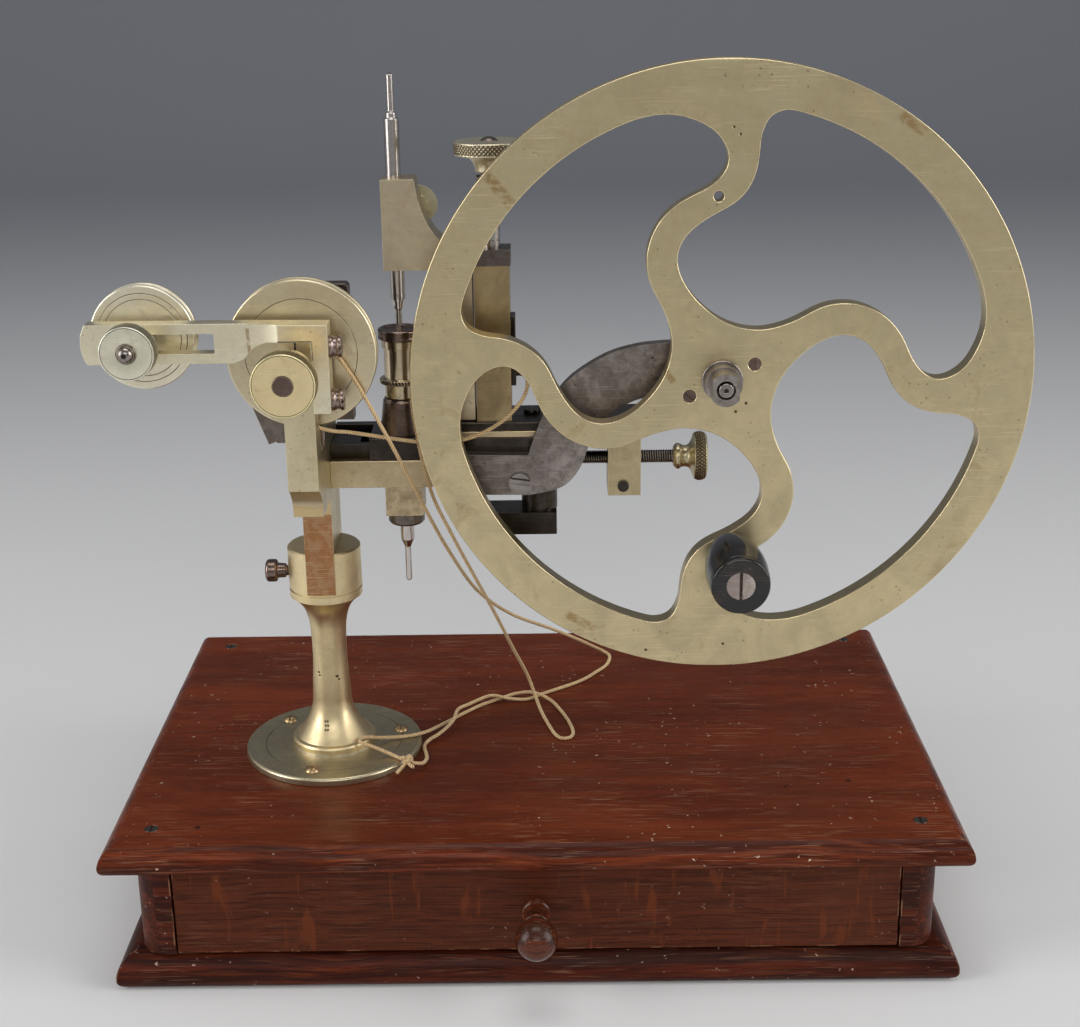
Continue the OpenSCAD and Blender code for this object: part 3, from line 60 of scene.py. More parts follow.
def new_object(name, data):
    """An object in the scene that shows this mesh, curve, camera or lamp."""
    made = bpy.data.objects.new(name, data)
    bpy.context.scene.collection.objects.link(made)
    return made


# Camera

CAMERA_PLACE = Vector((5.44, -604.777, 348.422)) * MM
CAMERA_PITCH_DOWN = math.radians(18.718)
CAMERA_YAW = math.radians(-0.266)
CAMERA_ROLL = math.radians(-0.778)
CAMERA_LENS_MM = 56.4737
CAMERA_SENSOR_MM = 36


def make_camera():
    """The camera that took the photograph, solved from the edges of the base."""
    forward = Vector((
        math.sin(CAMERA_YAW) * math.cos(CAMERA_PITCH_DOWN),
        math.cos(CAMERA_YAW) * math.cos(CAMERA_PITCH_DOWN),
        -math.sin(CAMERA_PITCH_DOWN),
    ))
    level = Vector((math.cos(CAMERA_YAW), -math.sin(CAMERA_YAW), 0))
    upright = level.cross(forward)
    right = math.cos(CAMERA_ROLL) * level + math.sin(CAMERA_ROLL) * upright
    up = -math.sin(CAMERA_ROLL) * level + math.cos(CAMERA_ROLL) * upright
    data = bpy.data.cameras.new("camera")
    data.sensor_fit = "HORIZONTAL"
    data.sensor_width = CAMERA_SENSOR_MM
    data.lens = CAMERA_LENS_MM
    data.clip_start = 0.02
    data.clip_end = 60
    camera = new_object("camera", data)
    facing = Matrix((right, up, -forward)).transposed().to_4x4()
    camera.matrix_world = Matrix.Translation(CAMERA_PLACE) @ facing
    bpy.context.scene.camera = camera


make_camera()


# Places taken from the frame

def middle(node):
    """Centre of a CAD node's box."""
    low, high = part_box(node)
    return (low + high) / 2


BODIES = frame["record"]["behaviour"]["bodies"]
BODY_OF = {node: body for body, nodes in BODIES.items() for node in nodes}
DECK_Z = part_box("top_board")[1].z


# Making meshes

FINISHES = {}  # material by name, filled in by new_finish
SAME_PLACE = 2e-6  # vertices of a CAD mesh closer than this are one
FLAT_WITHIN = math.radians(0.6)  # facets that turn less than this are one face
SHARP_FROM = math.radians(30)  # edges that turn more than this get broken
SHORT_SIDE = 0.3  # sides of a turned profile shorter than this stay sharp, in mm
SLIGHT_TURN = 0.3  # and so do its corners that turn less, as a sine
CORNER_SHARE = 0.45  # a rounding takes up at most this share of a side
# A knurl or thread valley this deep gets its full painted shade.
VALLEY_DEPTH = 0.22  # how deep a knurl or thread looks fully dark, in mm


def place_along(centre, axis):
    """A frame at a centre whose Z runs along the axis named x, y or z."""
    z = AXES[axis]
    x = AXES["x"] if axis != "x" else AXES["y"]
    y = z.cross(x)
    facing = Matrix((x, y, z)).transposed().to_4x4()
    return Matrix.Translation(centre) @ facing


def to_mesh(shape, name):
    """The finished shape as a new mesh."""
    mesh = bpy.data.meshes.new(name)
    shape.to_mesh(mesh)
    shape.free()
    return mesh


def join_rings(shape, rings, closed=False):
    """Faces between each ring of vertices and the next; a ring of one vertex is a point."""
    for below, above in zip(rings, rings[1:] + (rings[:1] if closed else [])):
        sides = max(len(below), len(above))
        if sides == 1:
            continue
        for k in range(sides):
            pair = (k, (k + 1) % sides)
            corners = [below[i % len(below)] for i in pair] + [above[i % len(above)] for i in pair[::-1]]
            shape.faces.new(list(dict.fromkeys(corners)))


def add_piece(name, mesh, node, finish, place=None, weighted=True):
    """Puts a finished mesh in the scene as the piece that stands for a CAD node."""
    piece = new_object(name, mesh)
    piece.matrix_world = place if place is not None else Matrix.Identity(4)
    mesh.materials.clear()
    mesh.materials.append(FINISHES[finish])
    mesh.shade_smooth()
    if weighted:
        even = piece.modifiers.new("even_shading", "WEIGHTED_NORMAL")
        even.mode = "FACE_AREA"
        even.weight = 50
        even.keep_sharp = False
    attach(piece, BODY_OF[node])
    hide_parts(node)
    return piece


def mark_worn_edges(shape, edge_faces):
    """Writes the attribute that tells a finish where the rubbed edges are."""
    layer = shape.loops.layers.float.new("worn_edge")
    for face in shape.faces:
        worn = 1.0 if face in edge_faces else 0.0
        for corner in face.loops:
            corner[layer] = worn


def softened(node, finish, round_mm, axis="z"):
    """A CAD node's own shape with its hard edges broken, as files and polish leave them."""
    place = place_along(middle(node), axis)
    mesh = frame["nodes"][node].data.copy()
    mesh.transform(place.inverted())
    shape = bmesh.new()
    shape.from_mesh(mesh)
    bmesh.ops.remove_doubles(shape, verts=shape.verts, dist=SAME_PLACE)
    bmesh.ops.dissolve_limit(shape, angle_limit=FLAT_WITHIN, verts=shape.verts, edges=shape.edges)
    bmesh.ops.recalc_face_normals(shape, faces=shape.faces)
    made = bmesh.ops.bevel(
        shape,
        geom=[e for e in shape.edges if len(e.link_faces) == 2 and e.calc_face_angle(0) > SHARP_FROM],
        offset=round_mm * MM, offset_type="OFFSET", segments=2, profile=0.6, affect="EDGES",
        clamp_overlap=True, miter_outer="ARC",
    )
    mark_worn_edges(shape, set(made["faces"]))
    shape.to_mesh(mesh)
    shape.free()
    add_piece(node + "_finished", mesh, node, finish, place)


def arc_run(centre_r, centre_z, radius, start, end, steps=8):
    """Profile points (radius, length) along an arc, angles in degrees."""
    angles = [math.radians(start + (end - start) * i / steps) for i in range(steps + 1)]
    return [(centre_r + radius * math.cos(a), centre_z + radius * math.sin(a)) for a in angles]


def smooth_profile(points, pieces=5):
    """Profile points on a smooth curve through the given ones."""
    ends = [Vector(p) for p in (points[0], *points, points[-1])]
    run = []
    for a, b, c, d in zip(ends, ends[1:], ends[2:], ends[3:]):
        for t in (i / pieces for i in range(pieces)):
            square, cube = (2 * a - 5 * b + 4 * c - d) * t ** 2, (3 * b - a - 3 * c + d) * t ** 3
            run.append(tuple(0.5 * (2 * b + (c - a) * t + square + cube)))
    return run + [points[-1]]


def level_run(radius, start, end, step):
    """Profile points along a cylinder, close enough together to carry a knurl or thread."""
    pieces = max(1, round(abs(end - start) / step))
    return [(radius, start + (end - start) * i / pieces) for i in range(pieces + 1)]


def round_corners(profile, radius, closed, steps=3):
    """The profile as (radius, length, worn) with rounded corners; outer corners are worn."""
    points = [Vector(p) for p in profile]
    ring = [points[-1], *points, points[0]] if closed else points
    result = [] if closed else [(*points[0], 0.0)]
    for before, here, after in zip(ring, ring[1:], ring[2:]):
        back, ahead = before - here, after - here
        turn = (-back).normalized().cross(ahead.normalized())
        if min(back.length, ahead.length) < SHORT_SIDE or abs(turn) < SLIGHT_TURN:
            result.append((*here, 0.0))
            continue
        cut = min(radius, CORNER_SHARE * back.length, CORNER_SHARE * ahead.length)
        start, end = here + back.normalized() * cut, here + ahead.normalized() * cut
        for i in range(steps + 1):
            t = i / steps
            point = start * (1 - t) ** 2 + here * 2 * t * (1 - t) + end * t ** 2
            worn = 1.0 if turn > 0 and 0 < i < steps else 0.0
            result.append((*point, worn))
    if not closed:
        result.append((*points[-1], 0.0))
    return result


def turned(node, finish, profile, axis, sides, rounding, relief=None):
    """A lathe-turned piece in place of a CAD node.

    The profile is (radius, length) in mm from the low end of the node's box along its axis.
    relief(radius, length, angle) gives the radius of a knurl or thread at a point.
    """
    start = middle(node)
    along = "xyz".index(axis)
    start[along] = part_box(node)[0][along]
    shape = bmesh.new()
    worn_edge = shape.verts.layers.float.new("worn_edge")
    valley = shape.verts.layers.float.new("valley")
    rings = []
    closed = profile[0][0] > 0 and profile[-1][0] > 0
    for radius, length, worn in round_corners(profile, rounding, closed):
        ring = []
        for k in range(sides if radius > 1e-6 else 1):
            angle = TURN * k / sides
            here = relief(radius, length, angle) if relief and radius > 1e-6 else radius
            place = Vector((here * math.cos(angle), here * math.sin(angle), length))
            vert = shape.verts.new(place * MM)
            vert[valley] = min(1.0, (radius - here) / VALLEY_DEPTH)
            vert[worn_edge] = worn
            ring.append(vert)
        rings.append(ring)
    join_rings(shape, rings, closed)
    bmesh.ops.recalc_face_normals(shape, faces=shape.faces)
    name = node + "_turned"
    add_piece(name, to_mesh(shape, name), node, finish, place_along(start, axis))


def saw(turns):
    """A ridge between 0 and 1 that repeats once a turn."""
    return 1 - abs(2 * (turns % 1) - 1)


def cut_between(low, high, depth, ridge):
    """A relief between two lengths; ridge(length, turns) is 1 on a ridge and 0 in a valley."""
    def relief(radius, length, angle):
        if not low <= length <= high:
            return radius
        return radius - depth * (1 - ridge(length, angle / TURN))
    return relief


def diamond_knurl(count, pitch, depth, low, high):
    """Crossed ridges on the rim between two lengths."""
    def ridge(length, turns):
        return min(saw(count * turns + length / pitch), saw(count * turns - length / pitch))
    return cut_between(low, high, depth, ridge)


def edge_knurl(count, depth, low, high, slant=0.0):
    """Straight or slanting ridges across the rim between two lengths."""
    return cut_between(low, high, depth, lambda length, turns: saw(count * turns + slant * length))


def screw_thread(pitch, depth, low, high):
    """A ridge that winds around a screw between two lengths."""
    return cut_between(low, high, depth, lambda length, turns: saw(length / pitch - turns))


# Drive cord

CORD_DIAMETER = 1.4 * MM
CORD_LAY_LENGTH = 3.6 * MM
CORD_RING_STEP = 0.24 * MM
CORD_CLEARANCE = 0.05 * MM
CORD_PLIES = 3
CORD_SIDES = 18
PLY_RELIEF = 0.55  # how far the valleys between the plies cut in, as a share of the radius
PLY_CREST = 0.3  # how far from its crest a ply stays clean, in radians
PLY_SHIFT = 0.01  # sets the fibres of the plies apart
KNOT_SCALE = 0.62 * MM

# The route is measured from the pillar's axis and the deck, in mm
CORD_ROUTE = [
    (27.4, -19.4, 3.9), (23.5, -16, 4), (15.8, -14.2, 6.7), (12.8, -13.6, 7.5), (10.9, -11.5, 7.7),
    (11.6, -8.8, 7.6), (14, -7.2, 7.1), (16.5, -5.5, 6.1), (21, -2, 4.3), (28, 0, 3.9), (34, 3, 3.8),
    (43.5, 20, 0.8), (55, 33.5, 0.8), (62.5, 39.5, 0.8), (69, 43, 1.3), (76, 39, 3.5),
    (82.5, 35.5, 1.9), (87, 27, 0.8), (90.6, 14, 0.8), (91.3, 6.5, 0.8), (90, 3.4, 0.8),
    (87.3, 2.7, 0.8), (85, 5.2, 0.8), (81.5, 15.5, 1.3), (78.5, 25.5, 3), (76.5, 32, 6), (74, 33, 13),
    (68.5, 20, 31), (61.5, 7, 52.5), (48, -10, 88.5), (41.5, -15.5, 106.5), (37.5, -17.8, 127),
    (36, -18, 145.5), (39, -18.5, 155), (50, -19, 159.5), (68.5, -19, 157), (73.5, -19, 153),
    (76, -19, 148.5), (75.5, -19, 144), (73, -19, 139.5), (67, -19, 133.5), (58, -19, 128.5),
    (50, -19.2, 126.5), (41, -20.2, 126.5), (22.5, -24.5, 130.5), (15, -27, 132.5), (8, -29.6, 134.1),
    (1.5, -30.4, 137.1), (-3, -30.4, 143.5), (-5, -30.4, 151), (-5, -30.4, 158), (-3, -30.4, 163.5),
    (0.5, -30.4, 165.5), (5.5, -30.4, 164), (11, -30.4, 161.5), (16.5, -30.4, 154), (27, -29, 133),
    (37, -19.5, 107), (41.5, -11, 93), (46.5, -1, 78.5), (55, 17, 57), (67, 37, 39), (84, 62, 21.5),
    (94, 74, 12), (102, 83.5, 4), (105.5, 84.5, 1.8), (107.9, 82.7, 0.9), (108.3, 79.5, 0.8),
    (106.5, 71.5, 0.8), (102, 64.5, 0.8), (95.5, 56, 0.8), (79.5, 43.5, 0.8), (73, 38.5, 0.8),
    (65.5, 38, 1.5), (59, 36.5, 3.5), (50, 32, 1.9), (46, 23.5, 3.5), (44.5, 16, 2.5), (39.5, 4, 2.5),
    (36.4, 1.8, 1.5), (34.5, -1.5, 0.8), (36, -13, 0.9), (34.5, -19.5, 2.1), (31.2, -22.2, 3.7),
]


def through_points(points, step):
    """Evenly spaced points on a smooth curve through the given ones."""
    ends = [2 * points[0] - points[1], *points, 2 * points[-1] - points[-2]]
    dense = []
    for a, b, c, d in zip(ends, ends[1:], ends[2:], ends[3:]):
        ta = 0.0
        tb = ta + math.sqrt((b - a).length)
        tc = tb + math.sqrt((c - b).length)
        td = tc + math.sqrt((d - c).length)
        pieces = max(4, math.ceil((c - b).length / (step / 2)))
        for i in range(pieces):
            t = tb + (tc - tb) * i / pieces
            ab = a * ((tb - t) / (tb - ta)) + b * ((t - ta) / (tb - ta))
            bc = b * ((tc - t) / (tc - tb)) + c * ((t - tb) / (tc - tb))
            cd = c * ((td - t) / (td - tc)) + d * ((t - tc) / (td - tc))
            abc = ab * ((tc - t) / (tc - ta)) + bc * ((t - ta) / (tc - ta))
            bcd = bc * ((td - t) / (td - tb)) + cd * ((t - tb) / (td - tb))
            dense.append(abc * ((tc - t) / (tc - tb)) + bcd * ((t - tb) / (tc - tb)))
    dense.append(points[-1])
    even, left = [dense[0]], step
    for a, b in zip(dense, dense[1:]):
        span = (b - a).length
        done = 0.0
        while span - done >= left:
            done += left
            even.append(a.lerp(b, done / span))
            left = step
        left -= span - done
    even.append(dense[-1])
    return even


def twisted_cord_mesh(name, line):
    """A mesh tube of twisted plies along a line, closed at both ends."""
    shape = bmesh.new()
    strand = shape.verts.layers.float_vector.new("strand")
    valley = shape.verts.layers.float.new("valley")
    across = Vector((0.2, 0.3, 1))
    ply_angle = TURN / CORD_PLIES
    rings, run = [], 0.0
    for i, point in enumerate(line):
        ahead = (line[min(i + 1, len(line) - 1)] - line[max(i - 1, 0)]).normalized()
        across = (across - across.dot(ahead) * ahead).normalized()
        beside = ahead.cross(across)
        if i:
            run += (point - line[i - 1]).length
        twist = TURN * run / CORD_LAY_LENGTH
        ring = []
        for k in range(CORD_SIDES):
            angle = TURN * k / CORD_SIDES
            off = (angle - twist + ply_angle / 2) % ply_angle - ply_angle / 2
            ply = (angle - twist) // ply_angle % CORD_PLIES
            radius = CORD_DIAMETER / 2 * (1 - PLY_RELIEF * (1 - math.cos(off)))
            vert = shape.verts.new(point + radius * (math.cos(angle) * across + math.sin(angle) * beside))
            vert[strand] = Vector((run, off * CORD_DIAMETER / 2, ply * PLY_SHIFT))
            vert[valley] = 1 - math.cos(off * CORD_PLIES / 2) if abs(off) > PLY_CREST else 0.0
            ring.append(vert)
        rings.append(ring)
    join_rings(shape, rings)
    shape.faces.new(list(reversed(rings[0])))
    shape.faces.new(rings[-1])
    return to_mesh(shape, name)


def make_drive_cord():
    """The cord that lies off the wheel, with the knot that closes its loop."""
    foot = middle("pillar_flange")
    foot.z = DECK_Z
    line = through_points([foot + Vector(p) * MM for p in CORD_ROUTE], CORD_RING_STEP)
    for point in line:
        point.z = max(point.z, DECK_Z + CORD_DIAMETER / 2 + CORD_CLEARANCE)
    name = "drive_cord_twine"
    mesh = twisted_cord_mesh(name, line)
    cord = add_piece(name, mesh, "drive_cord", "straw_twine", weighted=False)
    length = sum((b - a).length for a, b in zip(line, line[1:]))
    [tuple(p) for p in line[::4] + [line[-1]]]
    make_knot()


def make_knot():
    """The overhand knot with its two cut tails."""
    centre = middle("cord_knot")
    turns = []
    for i in range(13):
        t = math.radians(-60 + 35 * i)
        turns.append(centre + KNOT_SCALE * Vector((
            math.sin(t) + 2 * math.sin(2 * t),
            math.cos(t) - 2 * math.cos(2 * t),
            -1.6 * math.sin(3 * t),
        )))
    short_tail = centre + Vector((2.6, -4.2, -1.0)) * MM
    long_tail = centre + Vector((-3.5, -5, -1.5)) * MM
    long_tail.z = DECK_Z + CORD_DIAMETER
    name = "cord_knot_twine"
    mesh = twisted_cord_mesh(name, through_points([short_tail, *turns, long_tail], CORD_RING_STEP))
    return add_piece(name, mesh, "cord_knot", "straw_twine", weighted=False)


# Shader helpers

def put(socket, value):
    """Links a socket to a signal, or sets it to a constant."""
    if isinstance(value, Signal):
        socket.id_data.links.new(value.socket, socket)
    elif isinstance(value, tuple) and len(socket.default_value) == len(value) + 1:
        socket.default_value = (*value, 1.0)
    else:
        socket.default_value = value


def add_node(tree, kind, output, inputs=None, **settings):
    """Adds a shader node with its settings and inputs, and gives one of its outputs."""
    made = tree.nodes.new("ShaderNode" + kind)
    for name, value in settings.items():
        setattr(made, name, value)
    for key, value in (inputs or {}).items():
        put(made.inputs[key], value)
    return Signal(made.outputs[output])


class Signal:
    """A value, vector or colour in a shader; what is done to it adds nodes to the same shader."""

    def __init__(self, socket):
        self.socket = socket

    def node(self, kind, output, inputs=None, **settings):
        return add_node(self.socket.id_data, kind, output, inputs, **settings)

    def twin(self, output):
        """Another output of the same node."""
        return Signal(self.socket.node.outputs[output])

    def calc(self, operation, other=0.0, **settings):
        return self.node("Math", 0, {0: self, 1: other}, operation=operation, **settings)

    def __add__(self, other):
        return self.calc("ADD", other)

    def __sub__(self, other):
        return self.calc("SUBTRACT", other)

    def __rsub__(self, other):
        return self.node("Math", 0, {0: other, 1: self}, operation="SUBTRACT")

    def __mul__(self, other):
        return self.calc("MULTIPLY", other)

    def __abs__(self):
        return self.calc("ABSOLUTE")

    def higher(self, other):
        return self.calc("MAXIMUM", other)

    def between(self, low, high, to_low=0.0, to_high=1.0):
        """The value stretched from one range onto another and kept inside it."""
        inputs = {"Value": self, "From Min": low, "From Max": high, "To Min": to_low, "To Max": to_high}
        return self.node("MapRange", "Result", inputs, interpolation_type="SMOOTHSTEP")

    def mix(self, a, b):
        """Colour a turned towards b by this share."""
        return self.node("Mix", 2, {0: self, 6: a, 7: b}, data_type="RGBA")

    def part(self, axis):
        return self.node("SeparateXYZ", axis, {0: self})

    def vector_math(self, operation, other=(0, 0, 0), output="Vector"):
        return self.node("VectorMath", output, {0: self, 1: other}, operation=operation)

    def stretched(self, scale, turn=(0, 0, 0)):
        inputs = {"Vector": self, "Scale": scale, "Rotation": [math.radians(a) for a in turn]}
        return self.node("Mapping", "Vector", inputs)

    def noise(self, scale, detail=4.0, roughness=0.55, distortion=0.0):
        inputs = {"Vector": self, "Scale": scale, "Detail": detail, "Roughness": roughness}
        return self.node("TexNoise", "Fac", {**inputs, "Distortion": distortion})

    def attribute(self, name):
        return self.node("Attribute", "Fac", attribute_name=name)

    def bump(self, distance, strength=1.0, normal=None):
        """The normal of a surface with this height, on top of another normal if one is given."""
        inputs = {"Height": self, "Distance": distance, "Strength": strength}
        if normal is not None:
            inputs["Normal"] = normal
        return self.node("Bump", "Normal", inputs)


def build_group(effect):
    """A node group of an effect: what effect(vector) gives as {name: signal} becomes its outputs."""
    tree = bpy.data.node_groups.new(effect.__name__, "ShaderNodeTree")
    tree.interface.new_socket("Vector", in_out="INPUT", socket_type="NodeSocketVector")
    results = effect(Signal(tree.nodes.new("NodeGroupInput").outputs["Vector"]))
    for name in results:
        tree.interface.new_socket(name, in_out="OUTPUT", socket_type="NodeSocketFloat")
    output = tree.nodes.new("NodeGroupOutput")
    for name, signal in results.items():
        put(output.inputs[name], signal)
    return tree


def use_group(group, vector):
    made = vector.socket.id_data.nodes.new("ShaderNodeGroup")
    made.node_tree = group
    put(made.inputs["Vector"], vector)
    return {output.name: Signal(output) for output in made.outputs}


def new_finish(name):
    """A new material, kept in FINISHES: gives its shader's inputs and the piece's own coordinates."""
    finish = FINISHES[name] = bpy.data.materials.new(name)
    finish.use_nodes = True
    tree = finish.node_tree
    tree.nodes.clear()
    shader = tree.nodes.new("ShaderNodeBsdfPrincipled")
    output = tree.nodes.new("ShaderNodeOutputMaterial")
    tree.links.new(shader.outputs["BSDF"], output.inputs["Surface"])
    return shader.inputs, add_node(tree, "TexCoord", "Object")


def shaded(colour, share):
    return tuple(share * part for part in colour)


# Shared effects

SCRATCH_RUNS = [
    # turn in degrees, scale along a scratch, scale across it
    ((12, 8, 24), 40, 1500), ((-20, 15, -38), 55, 2100), ((35, -12, 78), 70, 1800),
]


def wood_figure(vector):
    """Grain along X: broad bands, fine streaks, open pores and flame."""
    drift = vector.noise(9.0, 2.0)
    bent = drift.node("CombineXYZ", 0, {"Y": drift * 0.02, "Z": drift * 0.012})
    flowing = vector.vector_math("ADD", bent)
    return {
        "Bands": flowing.stretched((7, 130, 190)).noise(1.0, 4.0, 0.55, 0.4),
        "Streaks": flowing.stretched((26, 900, 1300)).noise(1.0, 3.0, 0.6),
        "Pores": flowing.stretched((260, 3600, 3600)).noise(1.0, 2.0, 0.5).between(0.58, 0.68),
        "Flame": flowing.stretched((22, 210, 420)).noise(1.0, 3.0, 0.6, 0.5).between(0.52, 0.70),
    }


def scratches(vector):
    """Thin straight scratches that run a few ways, thicker in some patches."""
    total = 0.0
    for turn, along, across in SCRATCH_RUNS:
        lines = vector.stretched((along, across, across), turn).noise(1.0, 1.0, 0.4)
        total = lines.between(0.665, 0.71).higher(total)
    patches = vector.noise(40.0, 3.0).between(0.42, 0.66)
    return {"Mask": total * (patches * 0.8 + 0.2)}


def chips(vector):
    """Sparse pale chips and nicks, in clusters, as knocks leave on polish."""
    wobble = vector.node("TexNoise", "Color", {"Vector": vector, "Scale": 700.0})
    moved = vector.vector_math("ADD", wobble.vector_math("MULTIPLY", (0.003, 0.003, 0.003)))
    cell_inputs = {"Vector": moved.stretched((230, 380, 380)), "Scale": 1.0, "Randomness": 1.0}
    cells = vector.node("TexVoronoi", "Distance", cell_inputs)
    few = cells.node("SeparateColor", 0, {0: cells.twin("Color")}).between(0.50, 0.54)
    where = vector.noise(26.0, 3.0).between(0.46, 0.58)
    return {"Mask": cells.between(0.15, 0.07) * few * where}


def tarnish(vector):
    """Soft clouds, mottling, brown stains, small dark spots and a fine grain on old metal."""
    cells = vector.node("TexVoronoi", "Distance", {"Vector": vector, "Scale": 460.0, "Randomness": 1.0})
    return {
        "Clouds": vector.noise(45.0, 5.0, 0.62, 0.8).between(0.38, 0.62),
        "Mottle": vector.noise(260.0, 5.0, 0.68, 0.4).between(0.36, 0.64),
        "Stains": vector.noise(95.0, 5.0, 0.66, 0.6).between(0.56, 0.72),
        "Spots": cells.between(0.24, 0.10) * vector.noise(120.0, 3.0).between(0.50, 0.64),
        "Grain": vector.noise(1500.0, 3.0, 0.6),
    }


def turning_marks(vector):
    """Rings left by the lathe about the local Z axis, and the radius from that axis."""
    radius = vector.vector_math("MULTIPLY", (1, 1, 0)).vector_math("LENGTH", output="Value")
    place = radius.node("CombineXYZ", 0, {"X": radius * 4200.0, "Y": vector.part("Z") * 4200.0})
    return {"Rings": place.noise(1.0, 3.0, 0.65), "Radius": radius}


WOOD_FIGURE, SCRATCHES, CHIPS, TARNISH, TURNING_MARKS = (
    build_group(effect) for effect in (wood_figure, scratches, chips, tarnish, turning_marks)
)


# Marks at given places, all in mm in the piece's own frame

def dots_at(local, places):
    """A mask of small round marks (x, y, z, radius); None runs right through along that axis."""
    total = 0.0
    for *place, radius in places:
        shown = tuple(0.0 if part is None else 1.0 for part in place)
        centre = tuple(0.0 if part is None else part * MM for part in place)
        gap = local.vector_math("MULTIPLY", shown).vector_math("DISTANCE", centre, "Value")
        total = gap.between(radius * MM, 0.6 * radius * MM).higher(total)
    return total


def strokes_at(local, strokes):
    """A mask of straight lines seen along local Z: (x, y, degrees, length, width)."""
    total = 0.0
    for x, y, turn, length, width in strokes:
        moved = local.vector_math("SUBTRACT", (x * MM, y * MM, 0)).stretched((1, 1, 1), (0, 0, -turn))
        along = abs(moved.part("X")).between(length / 2 * MM, (length - width) / 2 * MM)
        across = abs(moved.part("Y")).between(width / 2 * MM, width / 4 * MM)
        total = (along * across).higher(total)
    return total


def rings_at(local, radii, width=0.16):
    """A mask of thin scribed circles about the local Z axis."""
    total = 0.0
    from_axis = use_group(TURNING_MARKS, local)["Radius"]
    for radius in radii:
        gap = abs(from_axis - radius * MM)
        total = gap.between(width * MM, 0.4 * width * MM).higher(total)
    return total


# Finishes

def make_wood(
    name, light, dark, flame, gloss=0.34, wear=0.5, chipped=0.8, flecks=0.0, dots=(), calm=None,
    shine=0.14, mitred=False,
):
    """Old polished mahogany with its knocks.

    flecks are the rays that a quarter-sawn front shows. Above calm, a height in mm in the
    board's own frame, the figure is quieter and hazy, as on the worn top. A mitred frame has
    its grain along Y on the sides that face along X.
    """
    shader, local = new_finish(name)
    if mitred:
        facing = local.node("NewGeometry", "True Normal").part("X")
        swapped = {"X": local.part("Y"), "Y": local.part("X"), "Z": local.part("Z")}
        local = abs(facing).between(0.28, 0.30).mix(local, local.node("CombineXYZ", 0, swapped))
    figure = use_group(WOOD_FIGURE, local)
    worn = use_group(SCRATCHES, local)["Mask"] * wear
    knocks = use_group(CHIPS, local)["Mask"] * chipped
    colour = figure["Bands"].between(0.38, 0.62).mix(dark, light)
    colour = (figure["Flame"] * 0.7).mix(colour, flame)
    streaks = figure["Streaks"].between(0.42, 0.70, 0.0, 0.75)
    if calm is not None:
        up = local.part("Z").between((calm - 0.8) * MM, calm * MM)
        clouds = local.stretched((9, 26, 9)).noise(1.0, 5.0, 0.6).between(0.35, 0.68)
        colour = (up * 0.75).mix(colour, clouds.mix(shaded(light, 0.55), light))
        streaks = streaks * (1.0 - up * 0.7)
    pore = shaded(dark, 0.3)
    colour = streaks.mix(colour, pore)
    colour = (figure["Pores"] * 0.5).mix(colour, pore)
    if flecks:
        leaning = local.stretched((260, 40, 42), (0, 38, 0)).noise(1.0, 4.0, 0.55, 0.6)
        upright = local.stretched((190, 40, 34), (0, -8, 0)).noise(1.0, 4.0, 0.55, 0.6)
        side = local.part("X").between(-0.02, 0.02)
        rays = local.node("Mix", 0, {0: side, 2: upright, 3: leaning}, data_type="FLOAT")
        colour = (rays.between(0.57, 0.68) * flecks).mix(colour, (0.165, 0.036, 0.008))
    dust = local.noise(14.0, 5.0, 0.62).between(0.46, 0.72, 0.0, 0.16)
    colour = dust.mix(colour, (0.13, 0.050, 0.025))
    colour = (worn * 0.45).mix(colour, (0.36, 0.20, 0.12))
    colour = knocks.mix(colour, (0.62, 0.46, 0.34))
    rubbed = local.attribute("worn_edge") * local.noise(190.0).between(0.50, 0.60)
    colour = (rubbed * 0.7).mix(colour, (0.34, 0.17, 0.09))
    if dots:
        colour = (dots_at(local, dots) * 0.85).mix(colour, (0.012, 0.006, 0.004))
    put(shader["Base Color"], colour)
    haze = local.noise(30.0).between(0.35, 0.7, 0.0, 0.2)
    put(shader["Roughness"], haze + worn * 0.25 + gloss)
    shader["Specular IOR Level"].default_value = shine
    height = figure["Streaks"] * 0.12 - (figure["Pores"] * 0.15 + worn + knocks)
    put(shader["Normal"], height.bump(0.05 * MM, 0.5))


